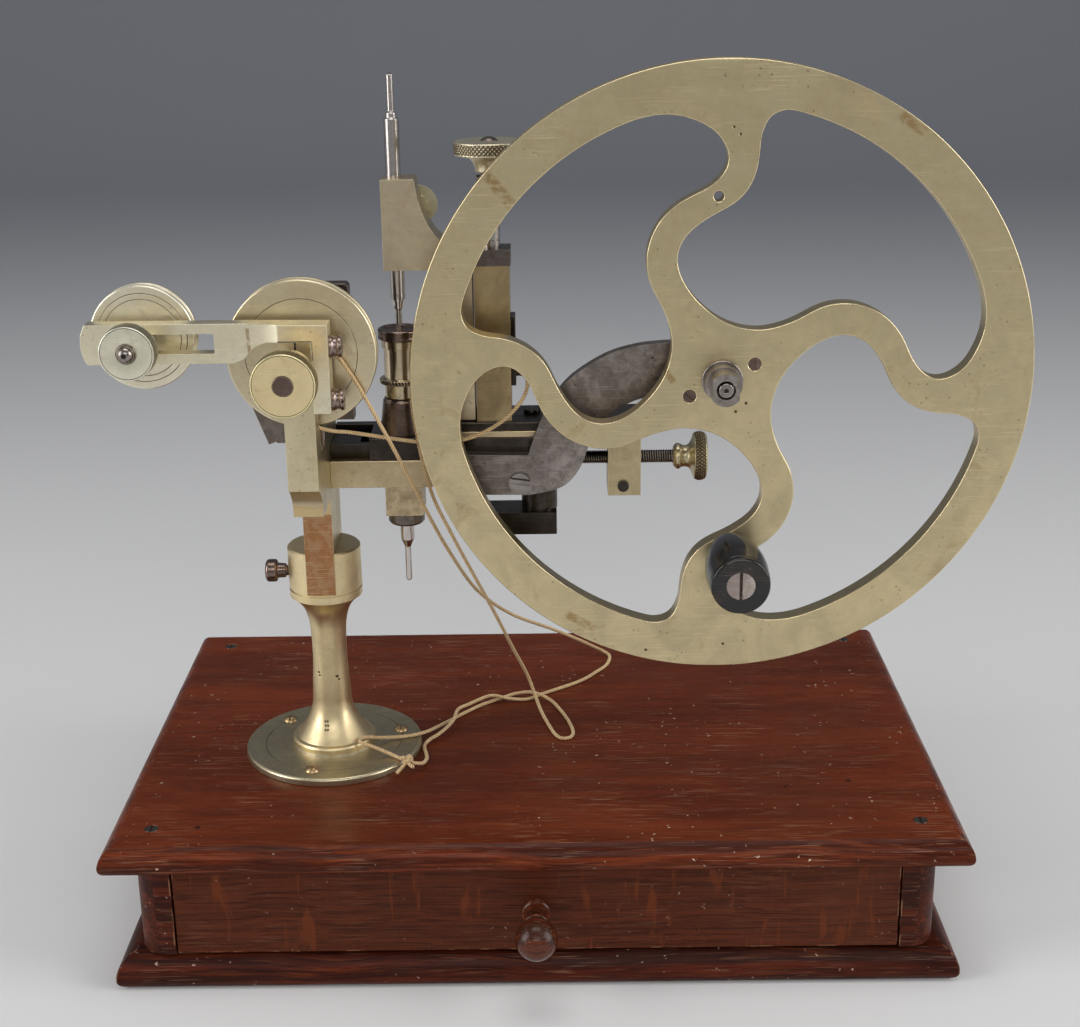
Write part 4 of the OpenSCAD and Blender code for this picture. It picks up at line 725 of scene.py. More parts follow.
def make_metal(
    name, bright, dull, stain, rough=0.34, clouds=0.5, mottle=0.25, stains=0.3, spots=0.4, marks=0.6,
    rings=0.0, edge_wear_and_highlight=0.8, scribed_at=(), dots=(), strokes=(), stained_at=(), bands=(),
):
    """Old metal: rubbed bright, dull and stained elsewhere, with painted edge highlights and painted shade
    in its knurls.

    In mm in the piece's own frame: scribed_at holds radii of scribed circles, dots small punch
    marks, strokes dark lines, stained_at brown streaks, and bands (low, high, colour, share)
    coloured zones along local Z on the faces towards local -Y.
    """
    shader, local = new_finish(name)
    age = use_group(TARNISH, local)
    lines = use_group(SCRATCHES, local)["Mask"] * marks
    edge = local.attribute("worn_edge")
    colour = (age["Clouds"] * clouds).mix(bright, dull)
    colour = (age["Mottle"] * mottle).mix(colour, tuple(0.5 * (a + b) for a, b in zip(dull, stain)))
    colour = (age["Stains"] * stains).mix(colour, stain)
    colour = (age["Spots"] * spots).mix(colour, shaded(stain, 0.5))
    if stained_at:
        uneven = age["Mottle"].between(0.0, 1.0, 0.15, 0.8)
        colour = (strokes_at(local, stained_at) * uneven).mix(colour, stain)
    for low, high, tint, share in bands:
        ragged = local.part("Z") + (age["Clouds"] - 0.5) * (1.2 * MM)
        above_low = ragged.between((low - 0.2) * MM, (low + 0.2) * MM)
        below_high = ragged.between((high + 0.2) * MM, (high - 0.2) * MM)
        facing = local.node("TexCoord", "Normal").part("Y").between(-0.3, -0.6)
        uneven = age["Mottle"].between(0.0, 1.0, share, 0.8 * share)
        colour = (below_high * above_low * facing * uneven).mix(colour, tint)
    pale = tuple(min(1.0, 1.25 * part) for part in bright)
    colour = (lines * 0.5).mix(colour, pale)
    # Edges are paler: partly rubbed wear, partly a painted edge highlight.
    colour = (edge * edge_wear_and_highlight).mix(colour, pale)
    # Knurl and thread valleys are painted darker, as painted shade.
    colour = (local.attribute("valley") * 0.9).mix(colour, shaded(stain, 0.22))
    cut = 0.0
    for mask, places in ((rings_at, scribed_at), (dots_at, dots), (strokes_at, strokes)):
        if places:
            cut = mask(local, places).higher(cut)
    # Cuts are painted dark, as painted shade in scribed lines, punch marks, slots and holes.
    if cut:
        colour = (cut * 0.9).mix(colour, shaded(stain, 0.15))
    put(shader["Base Color"], colour)
    shader["Metallic"].default_value = 1.0
    haze = age["Clouds"] * 0.10 + age["Grain"] * 0.10 + age["Stains"] * 0.08 + (rough - 0.07)
    put(shader["Roughness"], haze.calc("SUBTRACT", edge * 0.12, use_clamp=True))
    height = age["Grain"] * 0.25 - (lines + age["Spots"])
    if rings:
        height = height + use_group(TURNING_MARKS, local)["Rings"] * rings
    normal = height.bump(0.02 * MM, 0.5)
    if cut:
        normal = cut.bump(-0.12 * MM, 1.0, normal)
    put(shader["Normal"], normal)


def make_ebonite():
    """Black hard rubber, brown where the light has aged it, with dust in its scratches."""
    shader, local = new_finish("black_ebonite")
    worn = use_group(SCRATCHES, local)["Mask"] * 0.6
    dust = use_group(CHIPS, local.stretched((2, 2, 2)))["Mask"] * 0.5
    cloud = local.noise(90.0).between(0.45, 0.75)
    colour = cloud.mix((0.008, 0.007, 0.007), (0.028, 0.019, 0.014))
    colour = (worn * 0.4).mix(colour, (0.16, 0.14, 0.12))
    put(shader["Base Color"], dust.mix(colour, (0.24, 0.21, 0.18)))
    put(shader["Roughness"], cloud * 0.12 + 0.16)
    put(shader["Normal"], (worn + dust).bump(-0.02 * MM, 0.4))


def make_twine():
    """Straw-coloured twisted twine with loose fibres, dirty patches and painted shade between the plies.
    """
    shader, local = new_finish("straw_twine")
    strand = local.node("Attribute", "Vector", attribute_name="strand")
    fibres = strand.stretched((500, 9000, 3000)).noise(1.0, 3.0, 0.6)
    patches = strand.noise(60.0, 3.0)
    colour = fibres.between(0.3, 0.7).mix((0.62, 0.38, 0.15), (0.95, 0.74, 0.42))
    colour = patches.between(0.4, 0.7, 0.0, 0.35).mix(colour, (0.38, 0.20, 0.075))
    # Painted shade between the plies.
    colour = (local.attribute("valley") * 0.65).mix(colour, (0.16, 0.08, 0.03))
    put(shader["Base Color"], colour)
    put(shader["Roughness"], fibres.between(0.2, 0.8, 0.62, 0.85))
    shader["Sheen Weight"].default_value = 0.3
    put(shader["Normal"], fibres.bump(0.06 * MM, 0.7))


# Marks in mm in the piece's own frame, as dots_at and strokes_at take them
WHEEL_PUNCH_MARKS = [
    (2.2, -83.8, None, 0.6), (4.4, -81.5, None, 0.6), (4.9, 11.3, None, 0.7), (8.4, 8.4, None, 0.7),
    (-25, 99, None, 0.6), (2.4, 97, None, 0.6),
]
WHEEL_STAINS = [
    (-18, -2, 60, 8, 3), (27, 42, 75, 7, 3), (-72, -62, 50, 26, 5), (-48, 88, 30, 14, 4),
    (60, -84, 35, 12, 4),
]
DECK_MARKS = [(114, -51, 5, 1.2), (90.5, -55, 5, 0.9), (-118, -80, 5, 1.3)]
PILLAR_NICKS = [
    (-1.9, None, -31.2, 0.5), (-1.0, None, -31.1, 0.5), (-1.8, None, -29.7, 0.5), (-0.9, None, -29.7, 0.5),
    (-2.0, None, -28.3, 0.5), (-1.1, None, -28.2, 0.5),
    (-3.8, None, -9.5, 0.6), (-3.5, None, -10.6, 0.5), (3.0, None, -11.0, 0.7), (3.6, None, -12.2, 0.5),
]

make_wood(
    "board_mahogany", (0.175, 0.031, 0.0080), (0.062, 0.0105, 0.0034), (0.235, 0.046, 0.0085),
    gloss=0.25, wear=0.9, chipped=1.0, dots=DECK_MARKS, calm=5.0,
)
make_wood(
    "polished_mahogany", (0.092, 0.0135, 0.0036), (0.034, 0.0056, 0.0022), (0.140, 0.027, 0.0055),
    mitred=True,
)
make_wood(
    "drawer_mahogany", (0.100, 0.0215, 0.0070), (0.080, 0.0180, 0.0062), (0.112, 0.024, 0.0065),
    gloss=0.46, wear=0.3, chipped=0.3, flecks=0.6,
)
make_wood(
    "knob_mahogany", (0.110, 0.025, 0.009), (0.045, 0.011, 0.005), (0.150, 0.034, 0.010), gloss=0.12,
    chipped=0.2, shine=0.3,
)
make_metal(
    "olive_brass", (0.68, 0.565, 0.34), (0.53, 0.455, 0.285), (0.38, 0.235, 0.095), rough=0.33,
    clouds=0.7, mottle=0.16, stains=0.30, spots=0.6, marks=0.8, dots=WHEEL_PUNCH_MARKS,
    stained_at=WHEEL_STAINS,
)
make_metal("feed_brass", (0.62, 0.54, 0.35), (0.44, 0.38, 0.24), (0.26, 0.17, 0.08), rings=0.4)
make_metal("bar_brass", (0.62, 0.50, 0.31), (0.45, 0.36, 0.22), (0.32, 0.19, 0.08), clouds=0.6)
make_metal(
    "bracket_brass", (0.58, 0.48, 0.29), (0.42, 0.345, 0.205), (0.24, 0.14, 0.06), rough=0.30,
    marks=0.9,
)
make_metal("runner_arm_brass", (0.66, 0.55, 0.37), (0.48, 0.41, 0.29), (0.32, 0.20, 0.10), clouds=0.8)
make_metal(
    "idler_brass", (0.95, 0.88, 0.68), (0.74, 0.67, 0.50), (0.34, 0.22, 0.11), rings=0.5, mottle=0.15,
    scribed_at=(13.1, 15.1),
)
# The lower band is oxide; the upper, golden band is a painted reflection.
make_metal(
    "leg_brass", (0.74, 0.65, 0.43), (0.57, 0.49, 0.32), (0.36, 0.23, 0.10), mottle=0.15,
    bands=[(-60, -19.4, (0.37, 0.155, 0.058), 0.95), (-19.4, -9.0, (0.58, 0.40, 0.18), 0.7)],
)
make_metal(
    "arm_brass", (0.93, 0.85, 0.63), (0.72, 0.65, 0.47), (0.36, 0.22, 0.10), mottle=0.15,
    stained_at=[(14.6, -9.4, 88, 9.0, 1.5)],
    strokes=[(30.2, -9.4, 0, 11.4, 0.5), (35.9, -6.2, 90, 6.4, 0.35)],
)
make_metal(
    "turned_brass", (0.84, 0.76, 0.55), (0.62, 0.56, 0.40), (0.34, 0.23, 0.11), rings=0.5, mottle=0.15,
)
make_metal(
    "nut_brass", (0.90, 0.86, 0.68), (0.72, 0.68, 0.53), (0.34, 0.23, 0.11), rings=0.5, mottle=0.15,
    scribed_at=(8.45, 3.3),
)
make_metal(
    "pulley_brass", (0.74, 0.64, 0.43), (0.54, 0.47, 0.32), (0.32, 0.20, 0.10), rings=0.6, mottle=0.15,
    scribed_at=(19.0,),
)
make_metal("clamp_brass", (0.70, 0.66, 0.46), (0.50, 0.47, 0.33), (0.30, 0.22, 0.12), rough=0.28)
make_metal(
    "rest_brass", (0.64, 0.54, 0.37), (0.36, 0.295, 0.20), (0.20, 0.13, 0.08), rough=0.21, clouds=0.8,
    rings=0.6,
)
make_metal(
    "post_brass", (0.44, 0.33, 0.175), (0.28, 0.21, 0.115), (0.16, 0.10, 0.05), rough=0.36, clouds=0.9,
    marks=1.0,
)
make_metal(
    "pillar_brass", (0.80, 0.655, 0.385), (0.62, 0.51, 0.31), (0.40, 0.26, 0.12), rough=0.36,
    clouds=0.5, mottle=0.12, stains=0.15, rings=0.3, dots=PILLAR_NICKS,
    bands=[(-40.5, -39.0, (0.86, 0.84, 0.78), 0.8)],
)
make_metal(
    "flange_brass", (0.56, 0.49, 0.33), (0.36, 0.32, 0.22), (0.26, 0.18, 0.10), rough=0.42, rings=0.3,
    scribed_at=(26.0,), clouds=0.8, marks=0.9,
)
make_metal("screw_brass", (0.60, 0.42, 0.22), (0.38, 0.26, 0.14), (0.16, 0.09, 0.05), rough=0.28)
make_metal(
    "gold_brass", (0.95, 0.77, 0.44), (0.78, 0.63, 0.36), (0.42, 0.26, 0.10), rings=0.4, mottle=0.12,
    scribed_at=(9.8,),
)
make_metal(
    "worn_nickel", (0.64, 0.50, 0.31), (0.42, 0.33, 0.205), (0.15, 0.10, 0.06), spots=1.0, mottle=0.7,
)
make_metal(
    "bright_steel", (0.50, 0.465, 0.43), (0.32, 0.29, 0.26), (0.16, 0.115, 0.085), rough=0.22,
    clouds=0.7, rings=0.3,
)
# The dark dot on the axis is painted shade of a centre hole.
make_metal(
    "hub_steel", (0.42, 0.375, 0.34), (0.21, 0.18, 0.16), (0.12, 0.08, 0.06), rough=0.20, clouds=0.8,
    rings=0.5, scribed_at=(2.6,), dots=[(0, 0, None, 1.0)],
)
make_metal(
    "slotted_steel", (0.58, 0.50, 0.46), (0.36, 0.30, 0.27), (0.20, 0.12, 0.09), rough=0.24, clouds=0.9,
    mottle=0.5, strokes=[(0, 0, 90, 9.4, 1.2)],
)
make_metal(
    "carrier_screw_steel", (0.40, 0.36, 0.33), (0.24, 0.21, 0.19), (0.12, 0.08, 0.06), rough=0.28,
    mottle=0.6, spots=0.8, strokes=[(-34.1, 20.0, 8, 10.4, 0.8)],
)
make_metal(
    "dark_steel", (0.22, 0.185, 0.155), (0.11, 0.092, 0.078), (0.05, 0.036, 0.028), rough=0.32,
    mottle=0.5,
)
make_metal(
    "cap_steel", (0.17, 0.140, 0.125), (0.11, 0.088, 0.078), (0.05, 0.036, 0.028), rough=0.34,
    mottle=0.5,
)
make_metal(
    "black_steel", (0.070, 0.058, 0.048), (0.026, 0.022, 0.019), (0.022, 0.014, 0.010), rough=0.28,
    mottle=0.4, edge_wear_and_highlight=1.0,
)
make_metal(
    "brown_steel", (0.23, 0.165, 0.135), (0.11, 0.080, 0.066), (0.06, 0.040, 0.030), rough=0.26,
    mottle=0.5,
)
make_metal(
    "fixing_steel", (0.34, 0.265, 0.235), (0.20, 0.150, 0.130), (0.10, 0.06, 0.045), rough=0.26,
    mottle=0.6, spots=0.8,
)
make_metal(
    "grey_steel", (0.38, 0.335, 0.305), (0.22, 0.190, 0.168), (0.075, 0.052, 0.040), rough=0.36,
    clouds=0.8, spots=1.0, mottle=0.7, marks=0.9,
)
make_metal(
    "screw_steel", (0.42, 0.38, 0.34), (0.26, 0.23, 0.20), (0.05, 0.038, 0.030), rough=0.28, clouds=0.4,
)
make_metal(
    "runner_steel", (0.66, 0.62, 0.59), (0.48, 0.43, 0.40), (0.22, 0.13, 0.10), rough=0.17, clouds=0.6,
    rings=0.5, stains=0.3,
)
make_ebonite()
make_twine()
make_drive_cord()


# Base

softened("plinth", "polished_mahogany", 0.5)
softened("case_walls", "polished_mahogany", 0.4)
softened("top_board", "board_mahogany", 0.5)
softened("board_screws", "dark_steel", 0.1)
softened("drawer_front", "drawer_mahogany", 0.5)
softened("drawer_tray", "drawer_mahogany", 0.5)


# Turned and knurled pieces, with profiles in mm

def bored(bore, outline):
    """The outline closed along the bore at both ends."""
    return [(bore, outline[0][1]), *outline, (bore, outline[-1][1])]


def make_height_knob():
    """The diamond-knurled knob on the post, with its trumpet neck."""
    outline = [(5.0, 0.0)] + arc_run(11.1, 0.0, 6.1, 180, 108, 10)[1:] + [(11.7, 5.5)]
    outline += level_run(12.3, 6.1, 9.8, 0.165) + [(11.7, 10.3)]
    knurl = diamond_knurl(52, 1.55, 0.34, 6.2, 9.7)
    turned("height_knob", "turned_brass", bored(3.2, outline), "z", 468, 0.25, knurl)


def make_feed_knob():
    """The waisted knob on the feed screw, with a coarse diamond knurl on its bulging flange."""
    waist = smooth_profile([(4.5, 2.5), (4.0, 3.4), (3.9, 4.6), (4.5, 5.7), (5.9, 6.6), (8.2, 7.4)])
    lengths = [length for _, length in level_run(0, 7.6, 11.4, 0.165)]
    rim = [(9.0 - 0.7 * ((length - 9.5) / 2.0) ** 2, length) for length in lengths]
    profile = [(0, 0), (3.4, 0), (4.7, 1.2), (4.7, 2.2), *waist, *rim]
    profile += [(7.6, 12.0), (6.6, 12.0), (5.8, 11.6), (0, 11.6)]
    knurl = diamond_knurl(42, 1.5, 0.40, 7.7, 11.3)
    turned("feed_knob", "feed_brass", profile, "x", 420, 0.2, knurl)


def make_bearing_knob():
    """The big bearing knob: a warm brass face, a scribed line and a fine edge knurl."""
    outline = [(10.15, 0.0)] + level_run(10.6, 0.4, 5.5, 0.4)
    outline += [(9.6, 6.1), (7.0, 6.3), (6.0, 7.5), (6.0, 24.0)]
    knurl = edge_knurl(100, 0.5, 0.25, 5.4)
    turned("bearing_knob", "gold_brass", bored(3.35, outline), "y", 500, 0.2, knurl)


def make_idler_nut():
    """The knurled nut that holds the idler's stud."""
    outline = [(8.8, 0.0)] + level_run(9.2, 0.4, 5.4, 0.4)
    outline += [(8.3, 6.2), (6.0, 6.6), (5.5, 7.4), (5.5, 13.4)]
    knurl = edge_knurl(96, 0.46, 0.25, 5.3)
    turned("idler_nut", "nut_brass", bored(2.95, outline), "y", 480, 0.2, knurl)


def make_rest():
    """The turned rest: polished sleeve with a slanting knurl, and its dark cupped table."""
    band = level_run(7.7, 5.4, 6.5, 0.2)
    sleeve = [(5.9, 0.0), (5.9, 5.0), (7.3, 5.0), *band, (7.3, 6.9), (5.9, 6.9), (5.9, 17.9)]
    knurl = edge_knurl(40, 0.5, 5.3, 6.6, slant=0.35)
    turned("rest_sleeve", "rest_brass", bored(4.28, sleeve), "z", 360, 0.2, knurl)
    table = [(7.3, 0.0), (7.7, 0.4), (7.7, 1.3), (7.55, 1.5), (7.7, 1.7), (7.7, 3.5), (7.2, 4.0)]
    table += [(6.1, 4.0), (5.6, 3.5), (5.0, 3.25), (3.2, 3.2), (2.9, 3.0), (2.6, 3.2), (1.9, 3.2)]
    turned("rest_table", "brown_steel", bored(1.6, table), "z", 160, 0.2)


def make_pulley(node, finish, bore, radius):
    """A grooved pulley 6 mm wide."""
    groove = [(0.1, 1.35), (1.7, 2.35), (2.2, 3.0), (1.7, 3.65), (0.1, 4.65)]
    outline = [(radius - 0.4, 0.0), (radius, 0.4), (radius, 1.2)]
    outline += smooth_profile([(radius - depth, length) for depth, length in groove], 3)
    outline += [(radius, 4.8), (radius, 5.6), (radius - 0.4, 6.0)]
    turned(node, finish, bored(bore, outline), "y", 180, 0.15)


def make_pillar_thumbscrew():
    """The thumbscrew through the pillar's foot, with its threaded shank."""
    shank = level_run(1.95, 7.5, 16.55, 0.13)
    profile = [(0, 0), (3.4, 0), (4.2, 0.8), (4.2, 3.8), (3.3, 4.4), (2.8, 4.4), (2.6, 7.4)]
    profile += [*shank, (0, 16.55)]
    thread = screw_thread(0.8, 0.25, 7.8, 16.3)
    turned("pillar_thumbscrew", "brown_steel", profile, "x", 64, 0.45, thread)


def make_feed_screw():
    """The blackened feed screw, with its thread beside a plain end."""
    profile = [(0, 0), *level_run(1.8, 0.0, 13.8, 0.4), *level_run(2.45, 13.8, 52.3, 0.12), (0, 52.3)]
    thread = screw_thread(0.85, 0.36, 14.2, 52.1)
    turned("feed_screw", "screw_steel", profile, "x", 48, 0.1, thread)


def make_drawer_knob():
    """The turned wooden pull: ball, neck with a ring, and a beaded foot."""
    profile = arc_run(0.0, 7.3, 7.3, -90, 62, 24)
    profile[0] = (0.0, 0.0)
    profile += smooth_profile([(3.2, 14.2), (3.0, 15.0), (3.3, 15.6)], 3)
    profile += arc_run(3.3, 16.5, 0.9, -60, 60, 6)
    profile += smooth_profile([(3.3, 17.6), (3.1, 19.2), (3.9, 21.8), (4.4, 22.8)], 4)
    profile += arc_run(4.0, 23.9, 1.0, -60, 80, 6) + [(4.4, 25.3), (4.4, 26.3), (0, 26.3)]
    turned("drawer_knob", "knob_mahogany", profile, "y", 72, 0.2)


def make_crank_knob():
    """The black handle of the crank with a fine groove near its front edge."""
    profile = [(2.85, 2.6), (4.85, 2.6), (4.85, 0)]
    profile += smooth_profile([(9.1, 0.0), (9.8, 0.5), (10.05, 2.2)], 4) + [(9.88, 2.45), (10.1, 2.7)]
    swell = [(10.25, 5.0), (10.6, 13.0), (10.1, 20.7), (9.0, 27.5), (7.8, 32.0), (7.2, 32.4)]
    profile += smooth_profile(swell) + [(2.85, 32.4)]
    turned("crank_knob", "black_ebonite", profile, "y", 96, 0.25)


def make_runners():
    """The two plain runners with their stepped and pointed ends."""
    upper = [(0, 0), (1.15, 0.6), (1.15, 8.8), (1.85, 9.2), (1.85, 10.2), (2.2, 11.6), (2.6, 12.6)]
    upper += [(2.6, 14.6), (2.48, 14.8), (2.6, 15.0), (2.6, 74.5), (1.85, 74.9), (1.85, 76.3)]
    upper += [(1.2, 77.1), (1.2, 89.0), (0, 89.7)]
    lower = [(0, 0), (0.65, 0.1), (1.15, 0.7), (1.15, 13.4), (2.1, 15.6), (2.5, 16.4), (2.5, 83.0)]
    lower += [(1.15, 84.0), (1.15, 91.2), (0, 92.0)]
    turned("upper_runner", "runner_steel", upper, "z", 48, 0.12)
    turned("lower_runner", "runner_steel", lower, "z", 48, 0.12)


make_height_knob()
make_feed_knob()
make_bearing_knob()
make_idler_nut()
make_rest()
make_pulley("spindle_pulley", "pulley_brass", 3.55, 25.5)
make_pulley("idler_pulley", "idler_brass", 2.55, 17.8)
make_pillar_thumbscrew()
make_feed_screw()
make_drawer_knob()
make_crank_knob()
make_runners()


# Filed and milled pieces

FILED_PIECES = [
    # node, finish, slot, edge in mm, axis
    ("pillar_flange", "flange_brass", "nickel_brass", 0.3, "z"),
    ("flange_screws", "screw_brass", "nickel_brass", 0.12, "z"),
    ("pillar", "pillar_brass", "nickel_brass", 0.3, "z"),
    ("frame_leg", "leg_brass", "light_brass", 0.4, "z"),
    ("bed_bar", "bar_brass", "light_brass", 0.4, "x"),
    ("bed_way", "black_steel", "dark_steel", 0.3, "x"),
    ("bed_rail", "black_steel", "dark_steel", 0.3, "x"),
    ("bearing_plate", "cap_steel", "nickel_plate", 0.3, "y"),
    ("stop_lever", "dark_steel", "bright_steel", 0.3, "y"),
    ("idler_arm", "arm_brass", "light_brass", 0.35, "y"),
    ("arm_fixings", "fixing_steel", "bright_steel", 0.12, "x"),
    ("bearing_stud", "brown_steel", "dark_steel", 0.2, "y"),
    ("spindle", "bright_steel", "bright_steel", 0.15, "y"),
    ("cutter", "dark_steel", "dark_steel", 0.05, "y"),
    ("idler_stud", "hub_steel", "bright_steel", 0.15, "y"),
    ("lower_block", "worn_nickel", "nickel_plate", 0.4, "z"),
    ("lower_collar", "dark_steel", "dark_steel", 0.2, "z"),
    ("carriage_base", "black_steel", "dark_steel", 0.4, "x"),
    ("carriage_strip", "bar_brass", "light_brass", 0.3, "x"),
    ("carriage_plate", "black_steel", "dark_steel", 0.35, "x"),
    ("carriage_screws", "black_steel", "dark_steel", 0.1, "z"),
    ("nut_block", "bracket_brass", "light_brass", 0.4, "x"),
    ("rest_cone", "brown_steel", "dark_steel", 0.2, "z"),
    ("rest_stem", "rest_brass", "light_brass", 0.15, "z"),
    ("post", "post_brass", "light_brass", 0.35, "z"),
    ("post_cap", "cap_steel", "dark_steel", 0.35, "z"),
    ("gib_strip", "black_steel", "dark_steel", 0.25, "z"),
    ("height_screw", "bright_steel", "bright_steel", 0.1, "z"),
    ("height_pins", "dark_steel", "dark_steel", 0.1, "z"),
    ("runner_arm", "runner_arm_brass", "light_brass", 0.35, "x"),
    ("runner_clamp", "clamp_brass", "gold_brass", 0.2, "y"),
    ("carrier_arm", "grey_steel", "grey_steel", 0.35, "y"),
    ("carrier_fixings", "carrier_screw_steel", "bright_steel", 0.2, "y"),
    ("wheel_axle", "hub_steel", "bright_steel", 0.2, "y"),
    ("hub_screws", "brown_steel", "dark_steel", 0.1, "y"),
    ("crank_screw", "slotted_steel", "bright_steel", 0.15, "y"),
    ("bed_clamp", "black_steel", "dark_steel", 0.3, "z"),
]

for part, finish, slot, round_mm, axis in FILED_PIECES:
    softened(part, finish, round_mm, axis)


# The hand wheel

WHEEL_THICKNESS = 7.0 * MM
WHEEL_ROUNDING = 0.32 * MM
WHEEL_EDGE_BREAK = 0.59 * MM  # the CAD wheel's front face stops this far inside its outline
HUB_ROUNDING = 0.3 * MM
HUB_SIDES = 64
EDGE_NORMAL = (0.1, 0.98)  # between these along the axis a normal is on the rounded edge
ON_FACE = 1e-5  # vertices this close to a face's plane lie in it, in metres
OUTLINE_STEP = 0.6  # in mm
CORNER_EASE = 4.4  # in mm
ROUND_WITHIN = 0.02  # an outline this close to a circle is one, as a share of its radius


def front_outlines(node, front_y):
    """Closed outlines (x, z in mm about the node's middle) where a flat front face ends."""
    shape = bmesh.new()
    shape.from_mesh(frame["nodes"][node].data)
    bmesh.ops.remove_doubles(shape, verts=shape.verts, dist=SAME_PLACE)
    shape.normal_update()
    in_front = {
        face for face in shape.faces
        if face.normal.y < -0.99 and abs(face.calc_center_median().y - front_y) < ON_FACE
    }
    centre = middle(node)
    follow = {}
    for edge in shape.edges:
        if sum(face in in_front for face in edge.link_faces) == 1:
            a, b = edge.verts
            follow.setdefault(a.index, []).append(b.index)
            follow.setdefault(b.index, []).append(a.index)
    shape.verts.ensure_lookup_table()
    outlines, left = [], set(follow)
    while left:
        here, before, run = min(left), None, []
        while here in left:
            place = (shape.verts[here].co - centre) / MM
            run.append(place.xz)
            left.discard(here)
            after = [v for v in follow[here] if v != before]
            before, here = here, after[0]
        outlines.append(run)
    shape.free()
    return outlines


def evened(outline, step, window):
    """A closed outline with even steps, its corners eased by running means over a window."""
    even, left = [], 0.0
    for a, b in zip(outline, outline[1:] + outline[:1]):
        span, done = (b - a).length, left
        while done < span:
            even.append(a.lerp(b, done / span))
            done += step
        left = done - span
    reach = round(window / 2 / step)
    around = range(-reach, reach + 1)
    for _ in range(2):
        count = len(even)
        sums = [sum((even[(i + k) % count] for k in around), Vector((0, 0))) for i in range(count)]
        even = [total / len(around) for total in sums]
    return even


def true_circle(outline):
    """The outline as an exact circle if it is one, else None."""
    centre = sum(outline, Vector((0, 0))) / len(outline)
    radii = [(p - centre).length for p in outline]
    radius = max(radii)
    if radius - min(radii) > ROUND_WITHIN * radius:
        return None
    count = max(32, round(radius * 4))
    angles = [TURN * i / count for i in range(count)]
    return [centre + radius * Vector((math.cos(a), math.sin(a))) for a in angles]


def wheel_plate(front_y):
    """The wheel's flat plate, about its own middle: eased openings and rounded edges."""
    curve = bpy.data.curves.new("wheel_outline", "CURVE")
    curve.dimensions = "2D"
    curve.fill_mode = "BOTH"
    curve.extrude = WHEEL_THICKNESS / 2 - WHEEL_ROUNDING
    curve.bevel_depth = WHEEL_ROUNDING
    curve.bevel_resolution = 1
    curve.offset = WHEEL_EDGE_BREAK - WHEEL_ROUNDING
    for outline in front_outlines("hand_wheel", front_y):
        line = true_circle(outline) or evened(outline, OUTLINE_STEP, CORNER_EASE)
        spline = curve.splines.new("POLY")
        spline.points.add(len(line) - 1)
        for point, at in zip(spline.points, line):
            point.co = (at.x * MM, -at.y * MM, 0, 1)
        spline.use_cyclic_u = True
    holder = new_object("wheel_outline", curve)
    graph = bpy.context.evaluated_depsgraph_get()
    plate = bpy.data.meshes.new_from_object(holder.evaluated_get(graph))
    bpy.data.objects.remove(holder)
    bpy.data.curves.remove(curve)
    return plate


def make_hand_wheel():
    """The wheel: hand-filed openings with eased corners and rubbed edges, and its hub behind."""
    low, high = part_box("hand_wheel")
    plate = wheel_plate(low.y)
    shape = bmesh.new()
    shape.from_mesh(plate)
    bpy.data.meshes.remove(plate)
    bmesh.ops.remove_doubles(shape, verts=shape.verts, dist=1e-6)
    shape.normal_update()
    flattest, steepest = EDGE_NORMAL
    edge_faces = {face for face in shape.faces if flattest < abs(face.normal.z) < steepest}
    centre = middle("hand_wheel")
    centre.y = low.y + WHEEL_THICKNESS / 2
    vertices = [v.co for v in frame["nodes"]["hand_wheel"].data.vertices]
    at_back = [(co - centre).xz.length for co in vertices if abs(co.y - high.y) < ON_FACE]
    bore, hub, back = min(at_back), max(at_back), high.y - centre.y
    profile = [
        (bore, 0.0), (hub, 0.0), (hub, back - HUB_ROUNDING), (hub - HUB_ROUNDING, back), (bore, back),
    ]
    angles = [TURN * k / HUB_SIDES for k in range(HUB_SIDES)]
    rings = [[shape.verts.new((r * math.cos(a), r * math.sin(a), z)) for a in angles] for r, z in profile]
    join_rings(shape, rings, closed=True)
    bmesh.ops.recalc_face_normals(shape, faces=shape.faces)
    mark_worn_edges(shape, edge_faces)
    name = "hand_wheel_finished"
    place = place_along(centre, "y")
    add_piece(name, to_mesh(shape, name), "hand_wheel", "olive_brass", place)


make_hand_wheel()


# Studio

LIT_PLACE = Vector((0.0, 0.0, 0.15))
FLOOR_HALF_WIDTH = 6.0
FLOOR_FRONT_Y = -2.5
BACKDROP_Y = 3.2
BACKDROP_BEND = 1.2
BACKDROP_TOP = 3.5


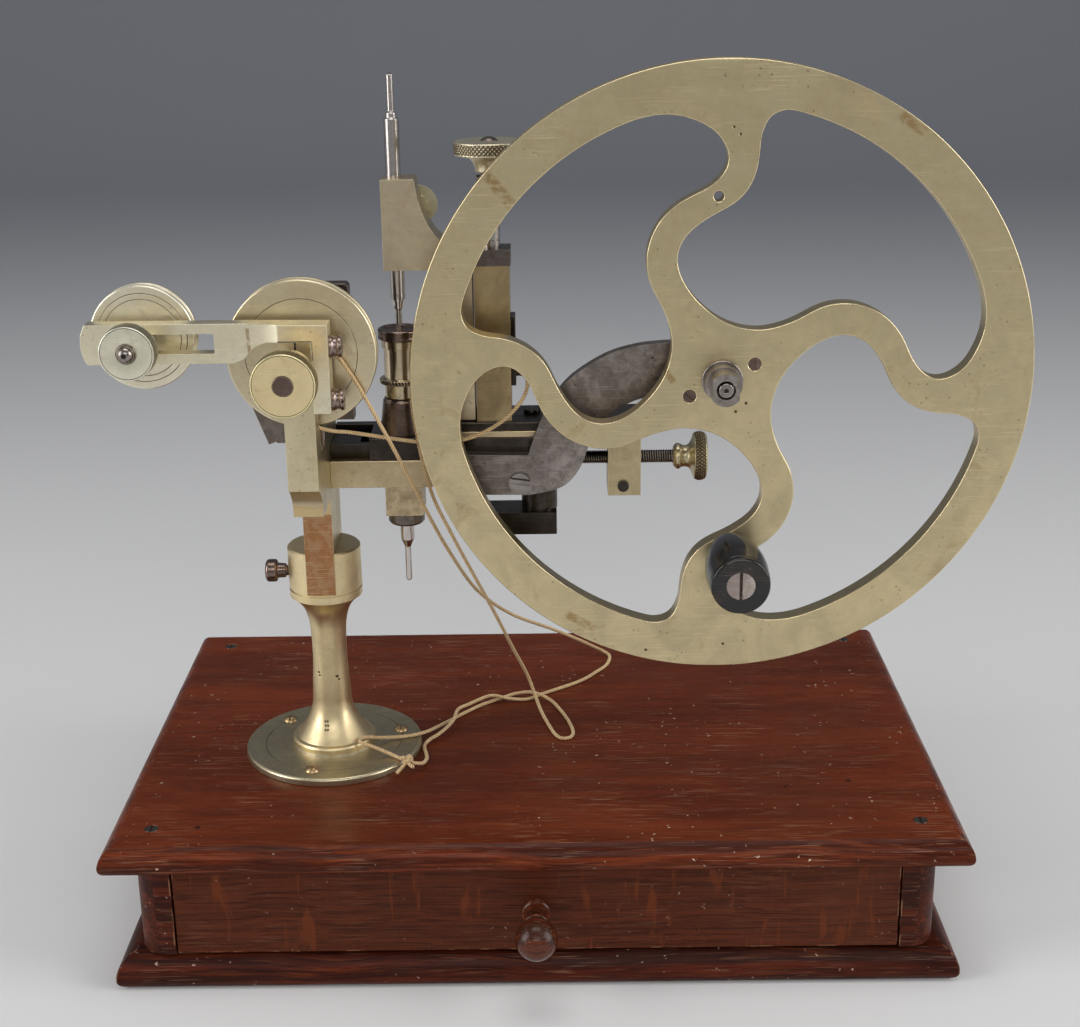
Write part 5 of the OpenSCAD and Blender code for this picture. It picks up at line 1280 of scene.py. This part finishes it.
def make_floor():
    """A pale floor that curves up into a backdrop far behind the tool, painted darker far back and in
    front as painted shade.
    """
    shape = bmesh.new()
    bend_y = BACKDROP_Y - BACKDROP_BEND
    profile = [(FLOOR_FRONT_Y, 0.0), (bend_y, 0.0)]
    for a in (math.radians(9 * i) for i in range(1, 10)):
        profile.append((bend_y + BACKDROP_BEND * math.sin(a), BACKDROP_BEND * (1 - math.cos(a))))
    profile += [(BACKDROP_Y, BACKDROP_BEND), (BACKDROP_Y, BACKDROP_TOP)]
    sides = (-FLOOR_HALF_WIDTH, FLOOR_HALF_WIDTH)
    rows = [[shape.verts.new((x, y, z)) for x in sides] for y, z in profile]
    for low, high in zip(rows, rows[1:]):
        shape.faces.new((low[0], low[1], high[1], high[0]))
    mesh = to_mesh(shape, "studio_floor")
    mesh.shade_smooth()
    floor = new_object("studio_floor", mesh)
    shader, local = new_finish("studio_paper")
    away = local.part("Y")
    # Painted shade: the paper darkens far back and up the backdrop, where the light falls off.
    depth = away.between(0.05, 2.0) + (local.noise(3.0, 3.0) - 0.5) * 0.06
    paper = depth.mix((0.74, 0.74, 0.735), (0.35, 0.365, 0.40))
    # Painted shade: in front, behind the camera, the floor is darker, as the dark room that the metal
    # reflects.
    put(shader["Base Color"], away.between(-0.9, -1.8).mix(paper, (0.42, 0.42, 0.42)))
    put(shader["Roughness"], 0.8)
    mesh.materials.append(FINISHES["studio_paper"])


def make_light(name, place, size, power):
    """A soft box turned towards the middle of the tool."""
    data = bpy.data.lights.new(name, "AREA")
    data.shape = "RECTANGLE"
    data.size, data.size_y = size
    data.energy = power
    lamp = new_object(name, data)
    lamp.location = place
    lamp.rotation_mode = "QUATERNION"
    lamp.rotation_quaternion = (Vector(place) - LIT_PLACE).to_track_quat("Z", "Y")


def make_world():
    """A soft grey room, lighter behind the tool and darker overhead."""
    world = bpy.data.worlds.new("studio")
    world.use_nodes = True
    tree = world.node_tree
    way = add_node(tree, "TexCoord", "Generated")
    level = way.part("Y").between(-0.6, 0.2).mix((0.32, 0.32, 0.32), (0.58, 0.58, 0.59))
    room = way.part("Z").between(0.1, 0.9).mix(level, (0.28, 0.28, 0.29))
    put(tree.nodes["Background"].inputs["Color"], room)
    bpy.context.scene.world = world


make_floor()
make_light("soft_box_left", (-1.10, -0.45, 0.55), (0.6, 0.9), 6.6)
make_light("soft_box_right", (1.10, -0.35, 0.55), (0.6, 0.9), 6.6)
make_light("front_fill", (0.1, -1.5, 1.05), (1.2, 0.5), 5.0)
make_light("overhead", (0.0, -0.15, 1.45), (0.9, 0.5), 4.0)
make_world()
bpy.context.scene.view_settings.view_transform = "Standard"
